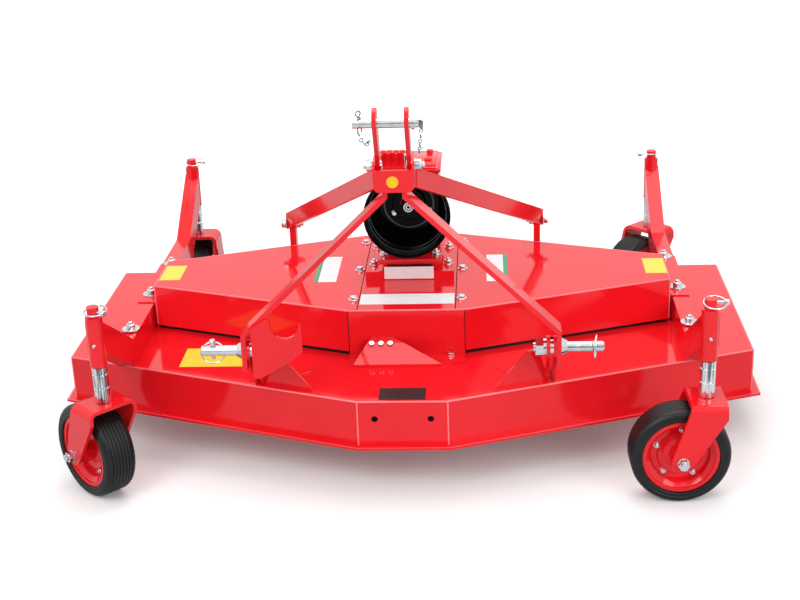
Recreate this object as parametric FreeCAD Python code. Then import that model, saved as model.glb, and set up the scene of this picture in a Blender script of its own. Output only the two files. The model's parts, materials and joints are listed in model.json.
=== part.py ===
"""Three-point finishing mower, 1.5 m class, with four swivelling gauge wheels.

Millimetres.  +X is the mower's left-to-right width as seen from the tractor, +Y points away from
the tractor and +Z is up.  The origin is on the ground, below the middle of the whole machine.
Heights are measured from the ground, places along Y from the deck's front outer corners, and
save() moves every piece back so that the origin ends up below the middle.
"""
import FreeCAD, Part
import math
import os

V = FreeCAD.Vector
X = V(1, 0, 0)
Y = V(0, 1, 0)
Z = V(0, 0, 1)

# Whole machine
front_corner_y = -319.8         # where the deck's front outer corners stand from the origin
fit = 0.3                       # clearance between pieces that slide or turn in each other

# Deck
deck_half_width = 780.0
deck_length = 560.0             # along the straight sides
nose_reach = 256.0              # the centre panel stands this far ahead of the front corners
nose_half_width = 97.0
deck_top = 214.6
deck_sheet = 4.0
skirt_depth = 107.0
flange_width = 18.0
flange_sheet = 5.0
nose_hole_spacing = 120.0
nose_hole_diameter = 14.0
nose_hole_drop = 41.0           # below the deck's top

# Belt cover
cover_sheet = 3.0
cover_height = 110.0            # above the deck
cover_front_gap = 10.0          # open slot below the front walls
cover_side_gap = 169.0          # between the cover's end and the deck's side
cover_outer_front_y = 168.0
cover_outer_rear_y = 338.0
cover_nose_x = 132.0
cover_nose_y = -8.0
cover_tail_x = 110.0
cover_tail_y = 520.0
cover_seam_x = 111.0
cover_seam_gap = 2.0
cover_foot_reach = 69.0         # flange on the deck in front of the centre section
tongue_sheet = 4.0
tongue_height = 40.0
tongue_foot_left_x = -118.0
tongue_foot_right_x = 80.0
tongue_top_left_x = -82.0
tongue_top_right_x = -30.0

# Gauge wheels
caster_inset = 145.0            # between a spindle and the deck's side
caster_front_y = -276.0
caster_rear_reach = 277.0       # the rear spindles stand this far behind the deck
arm_offset = 1.7                # the arms' middle stands this far outside the spindles
wheel_radius = 105.5
tyre_width = 74.0
tyre_shoulder = 12.0
tyre_bead = 6.0
rim_radius = 80.5
rim_width = 64.0
rim_lip = 8.0
web_foot_half = 14.0            # half thickness where the web leaves the hub
web_dish_radius = 34.0
web_dish_half = 10.0
web_ridge_radius = 46.0
web_ridge_half = 13.0
web_flat_inner = 49.0
web_flat_outer = 60.0
web_flat_half = 9.0
well_radius = 63.0
well_half = 20.0
hub_radius = 24.0
hub_clearance = 5.0             # between the hub and each leg of the fork
axle_diameter = 16.0
axle_nut_across = 21.0
axle_nut_height = 11.0
axle_head_height = 9.0
axle_washer_diameter = 25.0
axle_washer_height = 3.0
axle_end = 6.0                  # thread past the nut
caster_trail = 53.0
fork_width = 116.0
fork_plate = 73.0
fork_shoulder = 30.0            # upright stretch of a leg's rear edge
fork_sheet = 8.0
fork_bend = 18.0
fork_top = 231.1
fork_foot_radius = 23.0
spindle_diameter = 25.0
spindle_end = 22.0              # past the top of the arm's tube
spacer_diameter = 32.5
spacer_heights = (35.0, 30.6, 17.6)

# Caster arms
arm_width = 36.0
arm_height = 60.0
arm_front_rise = 30.5           # degrees
arm_rear_rise = 34.5            # degrees
arm_front_run = 237.0           # from the spindle to the bend
arm_rear_run = 189.0
arm_front_tail_y = 262.0
arm_rear_tail_y = 300.0
channel_wall = 2.5
channel_front_y = 184.0
channel_rear_y = 458.0
tube_diameter = 36.0
tube_bottom = 314.6
tube_length = 111.0

# Hitch
strap_thickness = 10.0
strap_width = 50.0
strap_y = -220.0
strap_top_x = 20.0
strap_drop = 18.0               # upright length below the mast head
strap_low_x = 331.5
strap_bend_height = 148.0       # above the deck
strap_foot_height = 68.0        # above the deck
pin_height = 107.0              # above the deck
pin_diameter = 22.0
pin_length = 77.0
pin_chamfer = 2.5
stud_diameter = 20.0
pin_flange_diameter = 40.0
pin_flange_tip_diameter = 27.0
pin_flange_length = 13.0
collar_diameter = 31.0
collar_length = 7.0
hitch_nut_across = 36.0
hitch_nut_height = 17.0
spring_washer = 6.0
stud_end = 4.0
outer_ear_sheet = 6.0
ear_sheet = 8.0
ear_radius = 24.0
ear_foot_length = 75.0
ear_setback = 17.0              # behind the deck's edge
gusset_length = 108.0
gusset_height = 77.0
gusset_low_height = 5.0
gusset_sheet = 6.0
head_half_width = 42.0
head_bottom = 466.0             # above the deck
head_height = 46.0
head_corner = 9.0
head_front_y = -270.0
head_depth = 74.0
head_sheet = 5.0
head_ear = 13.0                 # the sides stand above the front by this much
head_ear_setback = 18.0
head_round = 5.0
shelf_sheet = 6.0
stay_thickness = 8.0
stay_height = 42.0
stay_front_y = -200.0
stay_bottom = 455.4             # above the deck, at the head
post_inset = 458.0              # between a post and the deck's side
post_setback = 101.0            # between a post and the deck's rear edge
stay_end_height = 150.0         # above the deck, underside at the post
post_width = 16.0
post_depth = 30.0
post_overlap = 4.0

# Top link
lug_sheet = 9.0
lug_gap = 54.0
lug_pivot_y = -230.0
lug_pivot_height = 512.0        # above the deck
lug_lean = 26.2                 # degrees, towards the tractor
lug_pin_distance = 109.8
lug_tip_distance = 118.8
lug_foot_radius = 14.0
lug_tip_radius = 24.0
lug_bolt_diameter = 16.0
lug_nut_across = 22.0
lug_nut_height = 12.0
link_pin_diameter = 19.0
link_pin_length = 122.0
link_pin_offset = -15.0         # the pin reaches further out at the left
link_pin_head = 6.0

# Shaft rest
rest_sheet = 8.0
rest_notch_radius = 30.5
rest_notch_x = -241.5
rest_notch_height = 176.0       # above the deck
rest_rim = 10.0
rest_outer_x = -313.0
rest_inner_x = -205.5
rest_top = 184.0                # above the deck
rest_inner_low = 113.0          # above the deck
rest_middle = 88.0              # above the deck
rest_low = 55.0                 # above the deck
rest_tip_x = -298.0

# Gearbox
pto_height = 278.0              # above the deck
pto_diameter = 34.8
pto_front_y = 222.0
gearbox_front_y = 264.0
gearbox_length = 150.0
gearbox_half_width = 72.0
gearbox_height = 206.0
gearbox_round = 10.0
gearbox_foot = 14.0
bearing_cover_x = -37.0
bearing_cover_width = 60.0
bearing_cover_front = 28.0      # behind the gearbox's front
bearing_cover_depth = 22.0
bearing_cover_height = 30.0
bearing_rib_width = 6.0
bearing_rib_depth = 8.0
oil_cap_x = 48.0
oil_cap_y = 390.0
oil_cap_diameter = 16.0
oil_cap_height = 9.0
gearbox_boss_radius = 36.0
gearbox_boss_length = 14.0
stand_front_y = 188.0
stand_length = 230.0
stand_half_width = 105.0
stand_plate = 6.0
stand_lip = 20.0
stand_web = 10.0
stand_top_half_width = 75.0
stand_top_front_y = 200.0
stand_top_sheet = 12.0
stand_height = 46.0             # above the belt cover
shield_front_y = 150.0
shield_radius = 101.0
shield_sheet = 3.0

# Blades
blade_length = 520.0
blade_width = 60.0
blade_sheet = 6.0
blade_height = 118.0            # underside, from the ground
blade_wing = 18.0
blade_tip_gap = 16.0            # between a blade's tip and the skirt
outer_blade_y = 290.0
centre_blade_y = 50.0
housing_radius = 45.0
housing_flange = 10.0
housing_body_radius = 32.0
blade_hub_radius = 20.0
blade_shaft_diameter = 25.0


# Places that follow from the sizes above
caster_x = deck_half_width - caster_inset
caster_rear_y = deck_length + caster_rear_reach
cover_outer_x = deck_half_width - cover_side_gap
outer_blade_x = deck_half_width - deck_sheet - blade_tip_gap - blade_length / 2
stay_end_x = deck_half_width - post_inset
stay_end_y = deck_length - post_setback
hub_length = fork_width - 2 * fork_sheet - 2 * hub_clearance


def up(height):
    """Height above the ground of a height above the deck."""
    return deck_top + height


def box(x0, x1, y0, y1, z0, z1):
    return Part.makeBox(x1 - x0, y1 - y0, z1 - z0, V(x0, y0, z0))


def cylinder(diameter, start, axis, length):
    return Part.makeCylinder(diameter / 2, length, start, axis)


def outline(points):
    return Part.Face(Part.makePolygon(points + points[:1]))


def plan(points, z0, z1):
    """Prism over an outline given as (x, y)."""
    return outline([V(x, y, z0) for x, y in points]).extrude(V(0, 0, z1 - z0))


def side(points, x0, x1):
    """Prism across the machine from an outline given as (y, z)."""
    return outline([V(x0, y, z) for y, z in points]).extrude(V(x1 - x0, 0, 0))


def front(points, y0, y1):
    """Prism along the machine from an outline given as (x, z)."""
    return outline([V(x, y0, z) for x, z in points]).extrude(V(0, y1 - y0, 0))


def mirrored(shape):
    return shape.mirror(V(0, 0, 0), X)


def hexagon(across, start, axis, height):
    """Nut or bolt head."""
    radius = across / math.sqrt(3)
    corners = []
    for turn in range(6):
        angle = math.radians(60 * turn)
        corners.append(V(radius * math.cos(angle), radius * math.sin(angle), 0))
    nut = outline(corners).extrude(V(0, 0, height))
    nut.Placement = FreeCAD.Placement(start, FreeCAD.Rotation(Z, axis))
    return nut


def offset_line(points, distance):
    """The open polyline moved sideways to its left, with mitred corners."""
    moved = []
    for index, point in enumerate(points):
        before = points[max(index - 1, 0)]
        after = points[min(index + 1, len(points) - 1)]
        directions = []
        for start, end in ((before, point), (point, after)):
            length = math.dist(start, end)
            if length > 0:
                directions.append(((end[0] - start[0]) / length, (end[1] - start[1]) / length))
        normals = [(-dy, dx) for dx, dy in directions]
        nx = sum(n[0] for n in normals) / len(normals)
        ny = sum(n[1] for n in normals) / len(normals)
        scale = distance / (nx * nx + ny * ny)
        moved.append((point[0] + nx * scale, point[1] + ny * scale))
    return moved


def strip(points, thickness):
    """Closed outline of a band of one thickness along a polyline, centred on it."""
    return offset_line(points, thickness / 2) + offset_line(points, -thickness / 2)[::-1]


def tangent(point, centre, radius, turn):
    """Where the line from a point touches a circle; turn is +1 or -1 for the side."""
    dx = point[0] - centre[0]
    dy = point[1] - centre[1]
    away = math.atan2(dy, dx)
    opening = math.acos(radius / math.hypot(dx, dy))
    angle = away + turn * opening
    return centre[0] + radius * math.cos(angle), centre[1] + radius * math.sin(angle)


def finished_deck_line():
    return [(-deck_half_width, deck_length), (-deck_half_width, 0),
            (-nose_half_width, -nose_reach), (nose_half_width, -nose_reach),
            (deck_half_width, 0), (deck_half_width, deck_length)]


def front_edge_y(x):
    """Where the deck's angled front edge is, at a distance from the centre line."""
    slope = nose_reach / (deck_half_width - nose_half_width)
    return -(deck_half_width - abs(x)) * slope


def deck_top_sheet():
    return plan(finished_deck_line(), deck_top - deck_sheet, deck_top)


def skirt(panel):
    """One of the five skirt panels with its foot flange, numbered from the left side round."""
    outer = finished_deck_line()
    inner = offset_line(outer, deck_sheet)
    foot = offset_line(outer, -flange_width)
    low = deck_top - skirt_depth
    span = slice(panel, panel + 2)
    wall = plan(outer[span] + inner[span][::-1], low, deck_top - deck_sheet)
    flange = plan(foot[span] + inner[span][::-1], low, low + flange_sheet)
    return wall.fuse(flange).removeSplitter()


def nose_skirt():
    panel = skirt(2)
    for sign in (-1, 1):
        start = V(sign * nose_hole_spacing / 2, -nose_reach - 1, deck_top - nose_hole_drop)
        panel = panel.cut(cylinder(nose_hole_diameter, start, Y, deck_sheet + 2))
    return panel


def cover_line():
    return [(-cover_outer_x, cover_outer_front_y), (-cover_nose_x, cover_nose_y),
            (cover_nose_x, cover_nose_y), (cover_outer_x, cover_outer_front_y),
            (cover_outer_x, cover_outer_rear_y), (cover_tail_x, cover_tail_y),
            (-cover_tail_x, cover_tail_y), (-cover_outer_x, cover_outer_rear_y)]


def whole_cover():
    """The hollow cover, closed on top, with a slot under its front walls."""
    line = cover_line()
    top = deck_top + cover_height
    loop = line + line[:2]
    inner = offset_line(loop, cover_sheet)[1:-1]
    shell = plan(line, deck_top, top).cut(plan(inner, deck_top - 1, top - cover_sheet))
    slot_line = line[:4]
    behind = offset_line(slot_line, cover_sheet + 1)
    ahead = offset_line(slot_line, -1)
    slot = plan(ahead + behind[::-1], deck_top - 1, deck_top + cover_front_gap)
    return shell.cut(slot)


def cover_section(x0, x1):
    return whole_cover().common(box(x0, x1, -nose_reach, deck_length, 0, up(cover_height) + 1))


def right_cover():
    """Wing of the cover, cut back where the centre section's front panel overlaps it."""
    wing = cover_section(cover_seam_x + cover_seam_gap / 2, deck_half_width)
    behind = cover_nose_y + cover_sheet + cover_seam_gap
    return wing.cut(box(0, cover_nose_x, -nose_reach, behind, 0, up(cover_height) + 1))


def centre_cover():
    """Middle of the cover with its wider front panel and the foot that rests on the deck."""
    half = cover_seam_x - cover_seam_gap / 2
    back = cover_nose_y + cover_sheet
    panel = box(-cover_nose_x, cover_nose_x, cover_nose_y, back, deck_top, up(cover_height))
    toe = cover_nose_y - cover_foot_reach
    corner = toe + 24
    foot = plan([(-cover_nose_x, back), (-cover_nose_x, corner), (tongue_foot_left_x, toe),
                 (tongue_foot_right_x, toe), (cover_nose_x, corner), (cover_nose_x, back)],
                deck_top, up(cover_sheet))
    return cover_section(-half, half).fuse(panel).fuse(foot).removeSplitter()


def cover_tongue():
    """Sloping plate between the foot and the front panel of the centre cover."""
    toe = cover_nose_y - cover_foot_reach
    low = up(cover_sheet)
    high = up(tongue_height)
    corners = [V(tongue_foot_left_x, toe, low), V(tongue_foot_right_x, toe, low),
               V(tongue_top_right_x, cover_nose_y, high), V(tongue_top_left_x, cover_nose_y, high)]
    return outline(corners).extrude(V(0, 0, tongue_sheet))


def arm_line(bend_y, tip_y, tail_y, height, degrees):
    """Side outline of a caster arm: flat along the deck, then rising to its tube."""
    direction = math.copysign(1, tip_y - bend_y)
    rise = math.tan(math.radians(degrees))
    low_bend = bend_y + direction * height * math.tan(math.radians(degrees / 2))
    low_tip = deck_top + abs(tip_y - low_bend) * rise
    high_tip = deck_top + height + abs(tip_y - bend_y) * rise
    return [(tail_y, deck_top), (low_bend, deck_top), (tip_y, low_tip), (tip_y, high_tip),
            (bend_y, deck_top + height), (tail_y, deck_top + height)]


def caster_tube(y):
    return cylinder(tube_diameter, V(caster_x, y, tube_bottom), Z, tube_length)


def tube_bore(y):
    start = V(caster_x, y, tube_bottom - tube_length)
    return cylinder(spindle_diameter + 2 * fit, start, Z, 3 * tube_length)


def front_arm():
    """Box-section arm that carries the front gauge wheel."""
    bend_y = caster_front_y + arm_front_run
    line = arm_line(bend_y, caster_front_y, arm_front_tail_y, arm_height, arm_front_rise)
    middle = caster_x + arm_offset
    arm = side(line, middle - arm_width / 2, middle + arm_width / 2)
    arm = arm.fuse(caster_tube(caster_front_y)).removeSplitter()
    return arm.cut(tube_bore(caster_front_y))


def rear_arm():
    """Channel over the front arm's tail, fused to the box section that carries the rear wheel."""
    height = arm_height + fit
    inner = arm_width / 2 + fit
    outer = inner + channel_wall
    middle = caster_x + arm_offset
    bend_y = caster_rear_y - arm_rear_run
    line = arm_line(bend_y, caster_rear_y, arm_rear_tail_y, height, arm_rear_rise)
    arm = side(line, middle - inner, middle + inner)
    channel = box(middle - outer, middle + outer, channel_front_y, channel_rear_y,
                  deck_top, up(height + channel_wall))
    inside = box(middle - inner, middle + inner, channel_front_y - 1, channel_rear_y + 1,
                 deck_top - 1, up(height))
    arm = arm.fuse(channel.cut(inside))
    arm = arm.fuse(caster_tube(caster_rear_y)).removeSplitter()
    return arm.cut(tube_bore(caster_rear_y))


def fork():
    """Bent fork with its spindle; its own X is the trail and its Y the axle."""
    half = fork_width / 2
    inner = half - fork_sheet
    section = box(-fork_plate, 2 * fork_plate, -half, half, 0, fork_top)
    rounded = [edge for edge in section.Edges
               if abs(edge.CenterOfMass.z - fork_top) < 0.01 and abs(abs(edge.CenterOfMass.y) - half) < 0.01]
    section = section.makeFillet(fork_bend, rounded)
    hollow = box(-fork_plate - 1, 2 * fork_plate + 1, -inner, inner, -1, fork_top - fork_sheet)
    rounded = [edge for edge in hollow.Edges
               if abs(edge.CenterOfMass.z - fork_top + fork_sheet) < 0.01
               and abs(abs(edge.CenterOfMass.y) - inner) < 0.01]
    section = section.cut(hollow.makeFillet(fork_bend - fork_sheet, rounded))
    foot = (caster_trail, wheel_radius)
    rear_top = (-fork_plate / 2, fork_top)
    shoulder = (-fork_plate / 2, fork_top - fork_shoulder)
    fore_top = (fork_plate / 2, fork_top)
    rear_touch = tangent(shoulder, foot, fork_foot_radius, 1)
    fore_touch = tangent(fore_top, foot, fork_foot_radius, -1)
    corners = [V(x, -half, z) for x, z in (rear_touch, shoulder, rear_top, fore_top, fore_touch)]
    lowest = V(foot[0], -half, foot[1] - fork_foot_radius)
    edges = Part.makePolygon(corners).Edges
    edges.append(Part.Arc(corners[-1], lowest, corners[0]).toShape())
    leg_side = Part.Face(Part.Wire(edges)).extrude(V(0, fork_width, 0))
    body = section.common(leg_side)
    bore = cylinder(axle_diameter + fit, V(caster_trail, -fork_width, wheel_radius), Y, 2 * fork_width)
    spindle_top = tube_bottom + tube_length + spindle_end
    spindle = cylinder(spindle_diameter, V(0, 0, fork_top - 1), Z, spindle_top - fork_top + 1)
    return body.cut(bore).fuse(spindle).removeSplitter()


def height_spacers():
    """Stack of spacer rings between the fork and the arm's tube."""
    rings = []
    z = fork_top
    for height in spacer_heights:
        ring = cylinder(spacer_diameter, V(0, 0, z), Z, height - fit)
        rings.append(ring.cut(cylinder(spindle_diameter + fit, V(0, 0, z - 1), Z, height + 2)))
        z += height
    return Part.Compound(rings)


def wheel_axle():
    """Bolt through the fork's legs with a washer and a nut."""
    half = fork_width / 2
    start = V(caster_trail, -half - axle_washer_height, wheel_radius)
    nut_start = V(caster_trail, half + axle_washer_height, wheel_radius)
    length = fork_width + 2 * axle_washer_height + axle_nut_height + axle_end
    bolt = cylinder(axle_diameter, start, Y, length)
    bolt = bolt.fuse(hexagon(axle_nut_across, start, -Y, axle_head_height))
    bolt = bolt.fuse(cylinder(axle_washer_diameter, start, Y, axle_washer_height))
    washer = V(caster_trail, half, wheel_radius)
    bolt = bolt.fuse(cylinder(axle_washer_diameter, washer, Y, axle_washer_height))
    return bolt.fuse(hexagon(axle_nut_across, nut_start, Y, axle_nut_height)).removeSplitter()


def turned(profile):
    """Ring about the wheel's axle from an outline given as (radius, width)."""
    face = outline([V(caster_trail, width, wheel_radius + radius) for radius, width in profile])
    return face.revolve(V(caster_trail, 0, wheel_radius), Y, 360)


def rim():
    """Two pressed halves on a hub boss, as one turned piece."""
    bore = axle_diameter / 2 + fit
    edge = rim_width / 2
    hub = hub_length / 2
    half = [(bore, hub), (hub_radius, hub), (hub_radius, web_foot_half), (web_dish_radius, web_dish_half),
            (web_ridge_radius, web_ridge_half), (web_flat_inner, web_flat_half),
            (web_flat_outer, web_flat_half), (well_radius, well_half),
            (rim_radius - rim_lip, edge - rim_lip / 2), (rim_radius - rim_lip, edge), (rim_radius, edge)]
    return turned(half + [(radius, -width) for radius, width in half[::-1]])


def tyre():
    """Solid tyre with chamfered shoulders and a bead that covers the rim's edge."""
    half = tyre_width / 2
    seat = rim_radius + fit / 10
    bead = seat + tyre_bead
    near = 0.3 * tyre_shoulder
    upper = [(bead, half), (wheel_radius - tyre_shoulder, half), (wheel_radius - near, half - near),
             (wheel_radius, half - tyre_shoulder)]
    lower = [(radius, -across) for radius, across in reversed(upper)]
    return turned([(seat, -half + 2), (seat, half - 2)] + upper + lower)


def placed(shape, x, y, heading):
    """A caster's piece turned about its spindle to its heading and put at its place."""
    moved = shape.copy()
    moved.Placement = FreeCAD.Placement(V(x, y, 0), FreeCAD.Rotation(Z, heading))
    return moved


def front_stay():
    """Flat bar from the mast head down to the lower hitch pin."""
    path = [(strap_top_x, up(head_bottom)), (strap_top_x, up(head_bottom - strap_drop)),
            (strap_low_x, up(strap_bend_height)), (strap_low_x, up(strap_foot_height))]
    bar = front(strip(path, strap_thickness), strap_y - strap_width / 2, strap_y + strap_width / 2)
    bar = bar.cut(box(-strap_low_x, 2 * strap_low_x, strap_y - strap_width, strap_y + strap_width,
                      up(head_bottom), up(head_bottom + head_height)))
    hole = V(strap_low_x - strap_thickness, strap_y, up(pin_height))
    return bar.cut(cylinder(stud_diameter + fit, hole, X, 2 * strap_thickness))


def outer_ear_x():
    return strap_low_x - strap_thickness / 2 - outer_ear_sheet


def ear_x():
    return outer_ear_x() - collar_length - ear_sheet


def ear(x0, sheet):
    """Plate that leans from the deck forward to the hitch pin."""
    toe_y = front_edge_y(x0) + ear_setback
    centre = (strap_y, up(pin_height))
    heel = (toe_y + ear_foot_length, deck_top)
    toe = (toe_y, deck_top)
    heel_touch = tangent(heel, centre, ear_radius, 1)
    toe_touch = tangent(toe, centre, ear_radius, -1)
    points = [V(x0, y, z) for y, z in (heel_touch, heel, toe, toe_touch)]
    top = V(x0, centre[0], centre[1] + ear_radius)
    edges = Part.makePolygon(points).Edges
    edges.append(Part.Arc(points[3], top, points[0]).toShape())
    plate = Part.Face(Part.Wire(edges)).extrude(V(sheet, 0, 0))
    hole = V(x0 - 1, strap_y, up(pin_height))
    return plate.cut(cylinder(stud_diameter + fit, hole, X, sheet + 2))


def gusset():
    """Plate along the deck's edge that stiffens the inner ear."""
    x1 = ear_x() + ear_sheet / 2
    x0 = ear_x() - gusset_length
    start = V(x0, front_edge_y(x0) + ear_setback, deck_top)
    end = V(x1, front_edge_y(x1) + ear_setback, deck_top)
    along = end - start
    corners = [start, end, end + Z * gusset_height * 0.2, start + along * 0.84 + Z * gusset_height,
               start + along * 0.64 + Z * gusset_height, start + Z * gusset_low_height]
    return outline(corners).extrude(Z.cross(along).normalize() * gusset_sheet)


def hitch_bracket():
    """Inner ear with its gusset, and the outer ear behind the strap."""
    inner = ear(ear_x(), ear_sheet).fuse(gusset()).removeSplitter()
    return Part.Compound([inner, ear(outer_ear_x(), outer_ear_sheet)])


def hitch_pin():
    """Lower hitch pin with its tapered flange, collar, stud, spring washer and nut."""
    y = strap_y
    z = up(pin_height)
    shoulder = strap_low_x + strap_thickness / 2
    washer_start = ear_x() - spring_washer
    nut_start = washer_start - hitch_nut_height
    stud_start = nut_start - stud_end
    pin = cylinder(stud_diameter, V(stud_start, y, z), X, shoulder - stud_start)
    pin = pin.fuse(hexagon(hitch_nut_across, V(nut_start, y, z), X, hitch_nut_height))
    pin = pin.fuse(cylinder(hitch_nut_across, V(washer_start, y, z), X, spring_washer))
    pin = pin.fuse(cylinder(collar_diameter, V(ear_x() + ear_sheet, y, z), X, collar_length))
    flange = Part.makeCone(pin_flange_diameter / 2, pin_flange_tip_diameter / 2, pin_flange_length,
                           V(shoulder, y, z), X)
    shank_start = shoulder + pin_flange_length
    shank = cylinder(pin_diameter, V(shank_start, y, z), X, pin_length)
    tip = [edge for edge in shank.Edges
           if edge.BoundBox.XMin > shank_start + 1 and edge.BoundBox.XLength < 0.01]
    return pin.fuse(flange).fuse(shank.makeChamfer(pin_chamfer, tip)).removeSplitter()


def mast_head():
    """Bent strap across the top of the hitch frame, with a shelf on which the front stays end."""
    z0 = up(head_bottom)
    z1 = z0 + head_height
    z2 = z1 + head_ear
    half = head_half_width
    back = head_front_y + head_depth
    strap = front([(-half, z0 + head_corner), (-half + head_corner, z0), (half - head_corner, z0),
                   (half, z0 + head_corner), (half, z2), (-half, z2)], head_front_y, back)
    corners = [edge for edge in strap.Edges
               if abs(edge.CenterOfMass.y - head_front_y) < 0.01
               and abs(abs(edge.CenterOfMass.x) - half) < 0.01]
    strap = strap.makeFillet(head_round, corners)
    inner = half - head_sheet
    strap = strap.cut(box(-inner, inner, head_front_y + head_sheet, back + 1, z0 + shelf_sheet, z2 + 1))
    above = [(head_front_y - 1, z1), (head_front_y + head_ear_setback / 2, z1),
             (head_front_y + head_ear_setback, z2 + 1), (head_front_y - 1, z2 + 1)]
    strap = strap.cut(side(above, -2 * half, 2 * half))
    y, z = lug_point(0)
    return strap.cut(cylinder(lug_bolt_diameter + fit, V(-2 * half, y, z), X, 4 * half))


def stay_line():
    return [(head_half_width - stay_thickness / 2, stay_front_y), (stay_end_x, stay_end_y)]


def rear_stay():
    """Flat bar on edge from the mast head back and down to its post on the deck."""
    line = stay_line()
    path = plan(strip(line, stay_thickness), deck_top, up(2 * head_bottom))
    slope = (stay_bottom - stay_end_height) / (stay_end_y - stay_front_y)
    y0 = stay_front_y - stay_height
    y2 = stay_end_y + stay_height
    high = up(stay_bottom) + slope * stay_height
    low = up(stay_end_height) - slope * stay_height
    band = [(y0, high), (y2, low), (y2, low + stay_height), (y0, high + stay_height)]
    bar = path.common(side(band, 0, 2 * stay_end_x))
    return bar.cut(box(0, 2 * head_half_width, head_front_y, head_front_y + head_depth,
                       deck_top, up(2 * head_bottom)))


def rear_post():
    """Upright between the deck and the rear stay's end."""
    x1 = stay_end_x - stay_thickness / 2
    x0 = x1 - post_width
    y0 = stay_end_y - post_overlap
    post = box(x0, x1, y0, y0 + post_depth, deck_top, up(stay_end_height) + 20)
    return post.cut(rear_stay())


def lug_point(distance):
    lean = math.radians(lug_lean)
    return (lug_pivot_y - distance * math.sin(lean), up(lug_pivot_height) + distance * math.cos(lean))


def link_lug():
    """One of the two swinging top link lugs, the right one."""
    x0 = lug_gap / 2
    foot = lug_point(0)
    tip = lug_point(lug_tip_distance)
    spread = math.asin((lug_tip_radius - lug_foot_radius) / lug_tip_distance)
    lean = math.radians(lug_lean)
    fore = math.pi + lean - spread
    back = lean + spread

    def rim_point(centre, radius, angle):
        return V(x0, centre[0] + radius * math.cos(angle), centre[1] + radius * math.sin(angle))

    a = rim_point(foot, lug_foot_radius, fore)
    b = rim_point(tip, lug_tip_radius, fore)
    c = rim_point(tip, lug_tip_radius, back)
    d = rim_point(foot, lug_foot_radius, back)
    crown = rim_point(tip, lug_tip_radius, lean + math.pi / 2)
    heel = rim_point(foot, lug_foot_radius, lean - math.pi / 2)
    edges = [Part.makeLine(a, b), Part.Arc(b, crown, c).toShape(), Part.makeLine(c, d),
             Part.Arc(d, heel, a).toShape()]
    lug = Part.Face(Part.Wire(edges)).extrude(V(lug_sheet, 0, 0))
    for distance, diameter in ((0, lug_bolt_diameter), (lug_pin_distance, link_pin_diameter)):
        y, z = lug_point(distance)
        lug = lug.cut(cylinder(diameter + fit, V(x0 - 1, y, z), X, lug_sheet + 2))
    return lug


def lug_bolt():
    """Pivot bolt of the right lug with its head outside and its nut inside."""
    y, z = lug_point(0)
    inside = lug_gap / 2 - fit
    outside = head_half_width
    bolt = cylinder(lug_bolt_diameter, V(inside - lug_nut_height, y, z), X, outside - inside + lug_nut_height)
    for start in (inside - lug_nut_height, outside):
        bolt = bolt.fuse(hexagon(lug_nut_across, V(start, y, z), X, lug_nut_height))
    return bolt.removeSplitter()


def link_pin():
    """Top link pin with its head at the right."""
    y, z = lug_point(lug_pin_distance)
    start = link_pin_offset - link_pin_length / 2
    end = link_pin_offset + link_pin_length / 2
    pin = cylinder(link_pin_diameter, V(start, y, z), X, link_pin_length)
    head = cylinder(1.4 * link_pin_diameter, V(end - link_pin_head, y, z), X, link_pin_head)
    return pin.fuse(head).removeSplitter()


def shaft_rest():
    """Notched plate on the left front stay where the drive shaft is laid when it is off."""
    y0 = strap_y - strap_width / 2 - rest_sheet
    r = rest_notch_radius
    points = [(rest_outer_x, up(rest_low)), (rest_outer_x, up(rest_top - 15)),
              (rest_notch_x - r - rest_rim, up(rest_top + 5)),
              (rest_notch_x - r, up(rest_top + 3)), (rest_notch_x + r, up(rest_top)),
              (rest_inner_x, up(rest_top - 4)), (rest_inner_x, up(rest_inner_low)),
              (rest_notch_x, up(rest_middle)), (rest_tip_x, up(rest_low))]
    plate = front(points, y0, y0 + rest_sheet)
    centre = V(rest_notch_x, y0 - 1, up(rest_notch_height))
    plate = plate.cut(cylinder(2 * r, centre, Y, rest_sheet + 2))
    return plate.cut(box(rest_notch_x - r, rest_notch_x + r, y0 - 1, y0 + rest_sheet + 1,
                         up(rest_notch_height), up(rest_top + r)))


def gearbox_stand():
    """Base plate on the cover, two webs and the plate below the gearbox."""
    z0 = up(cover_height)
    y1 = stand_front_y + stand_length
    base = box(-stand_half_width, stand_half_width, stand_front_y, y1, z0, z0 + stand_plate)
    base = base.fuse(box(-stand_half_width, stand_half_width, stand_front_y, stand_front_y + stand_plate,
                         z0, z0 + stand_lip))
    top = z0 + stand_height
    half = stand_top_half_width
    base = base.fuse(box(-half, half, stand_top_front_y, y1, top - stand_top_sheet, top))
    for x0 in (-half + 12, half - 12 - stand_web):
        base = base.fuse(box(x0, x0 + stand_web, stand_top_front_y + 6, y1, z0, top))
    return base.removeSplitter()


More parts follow.
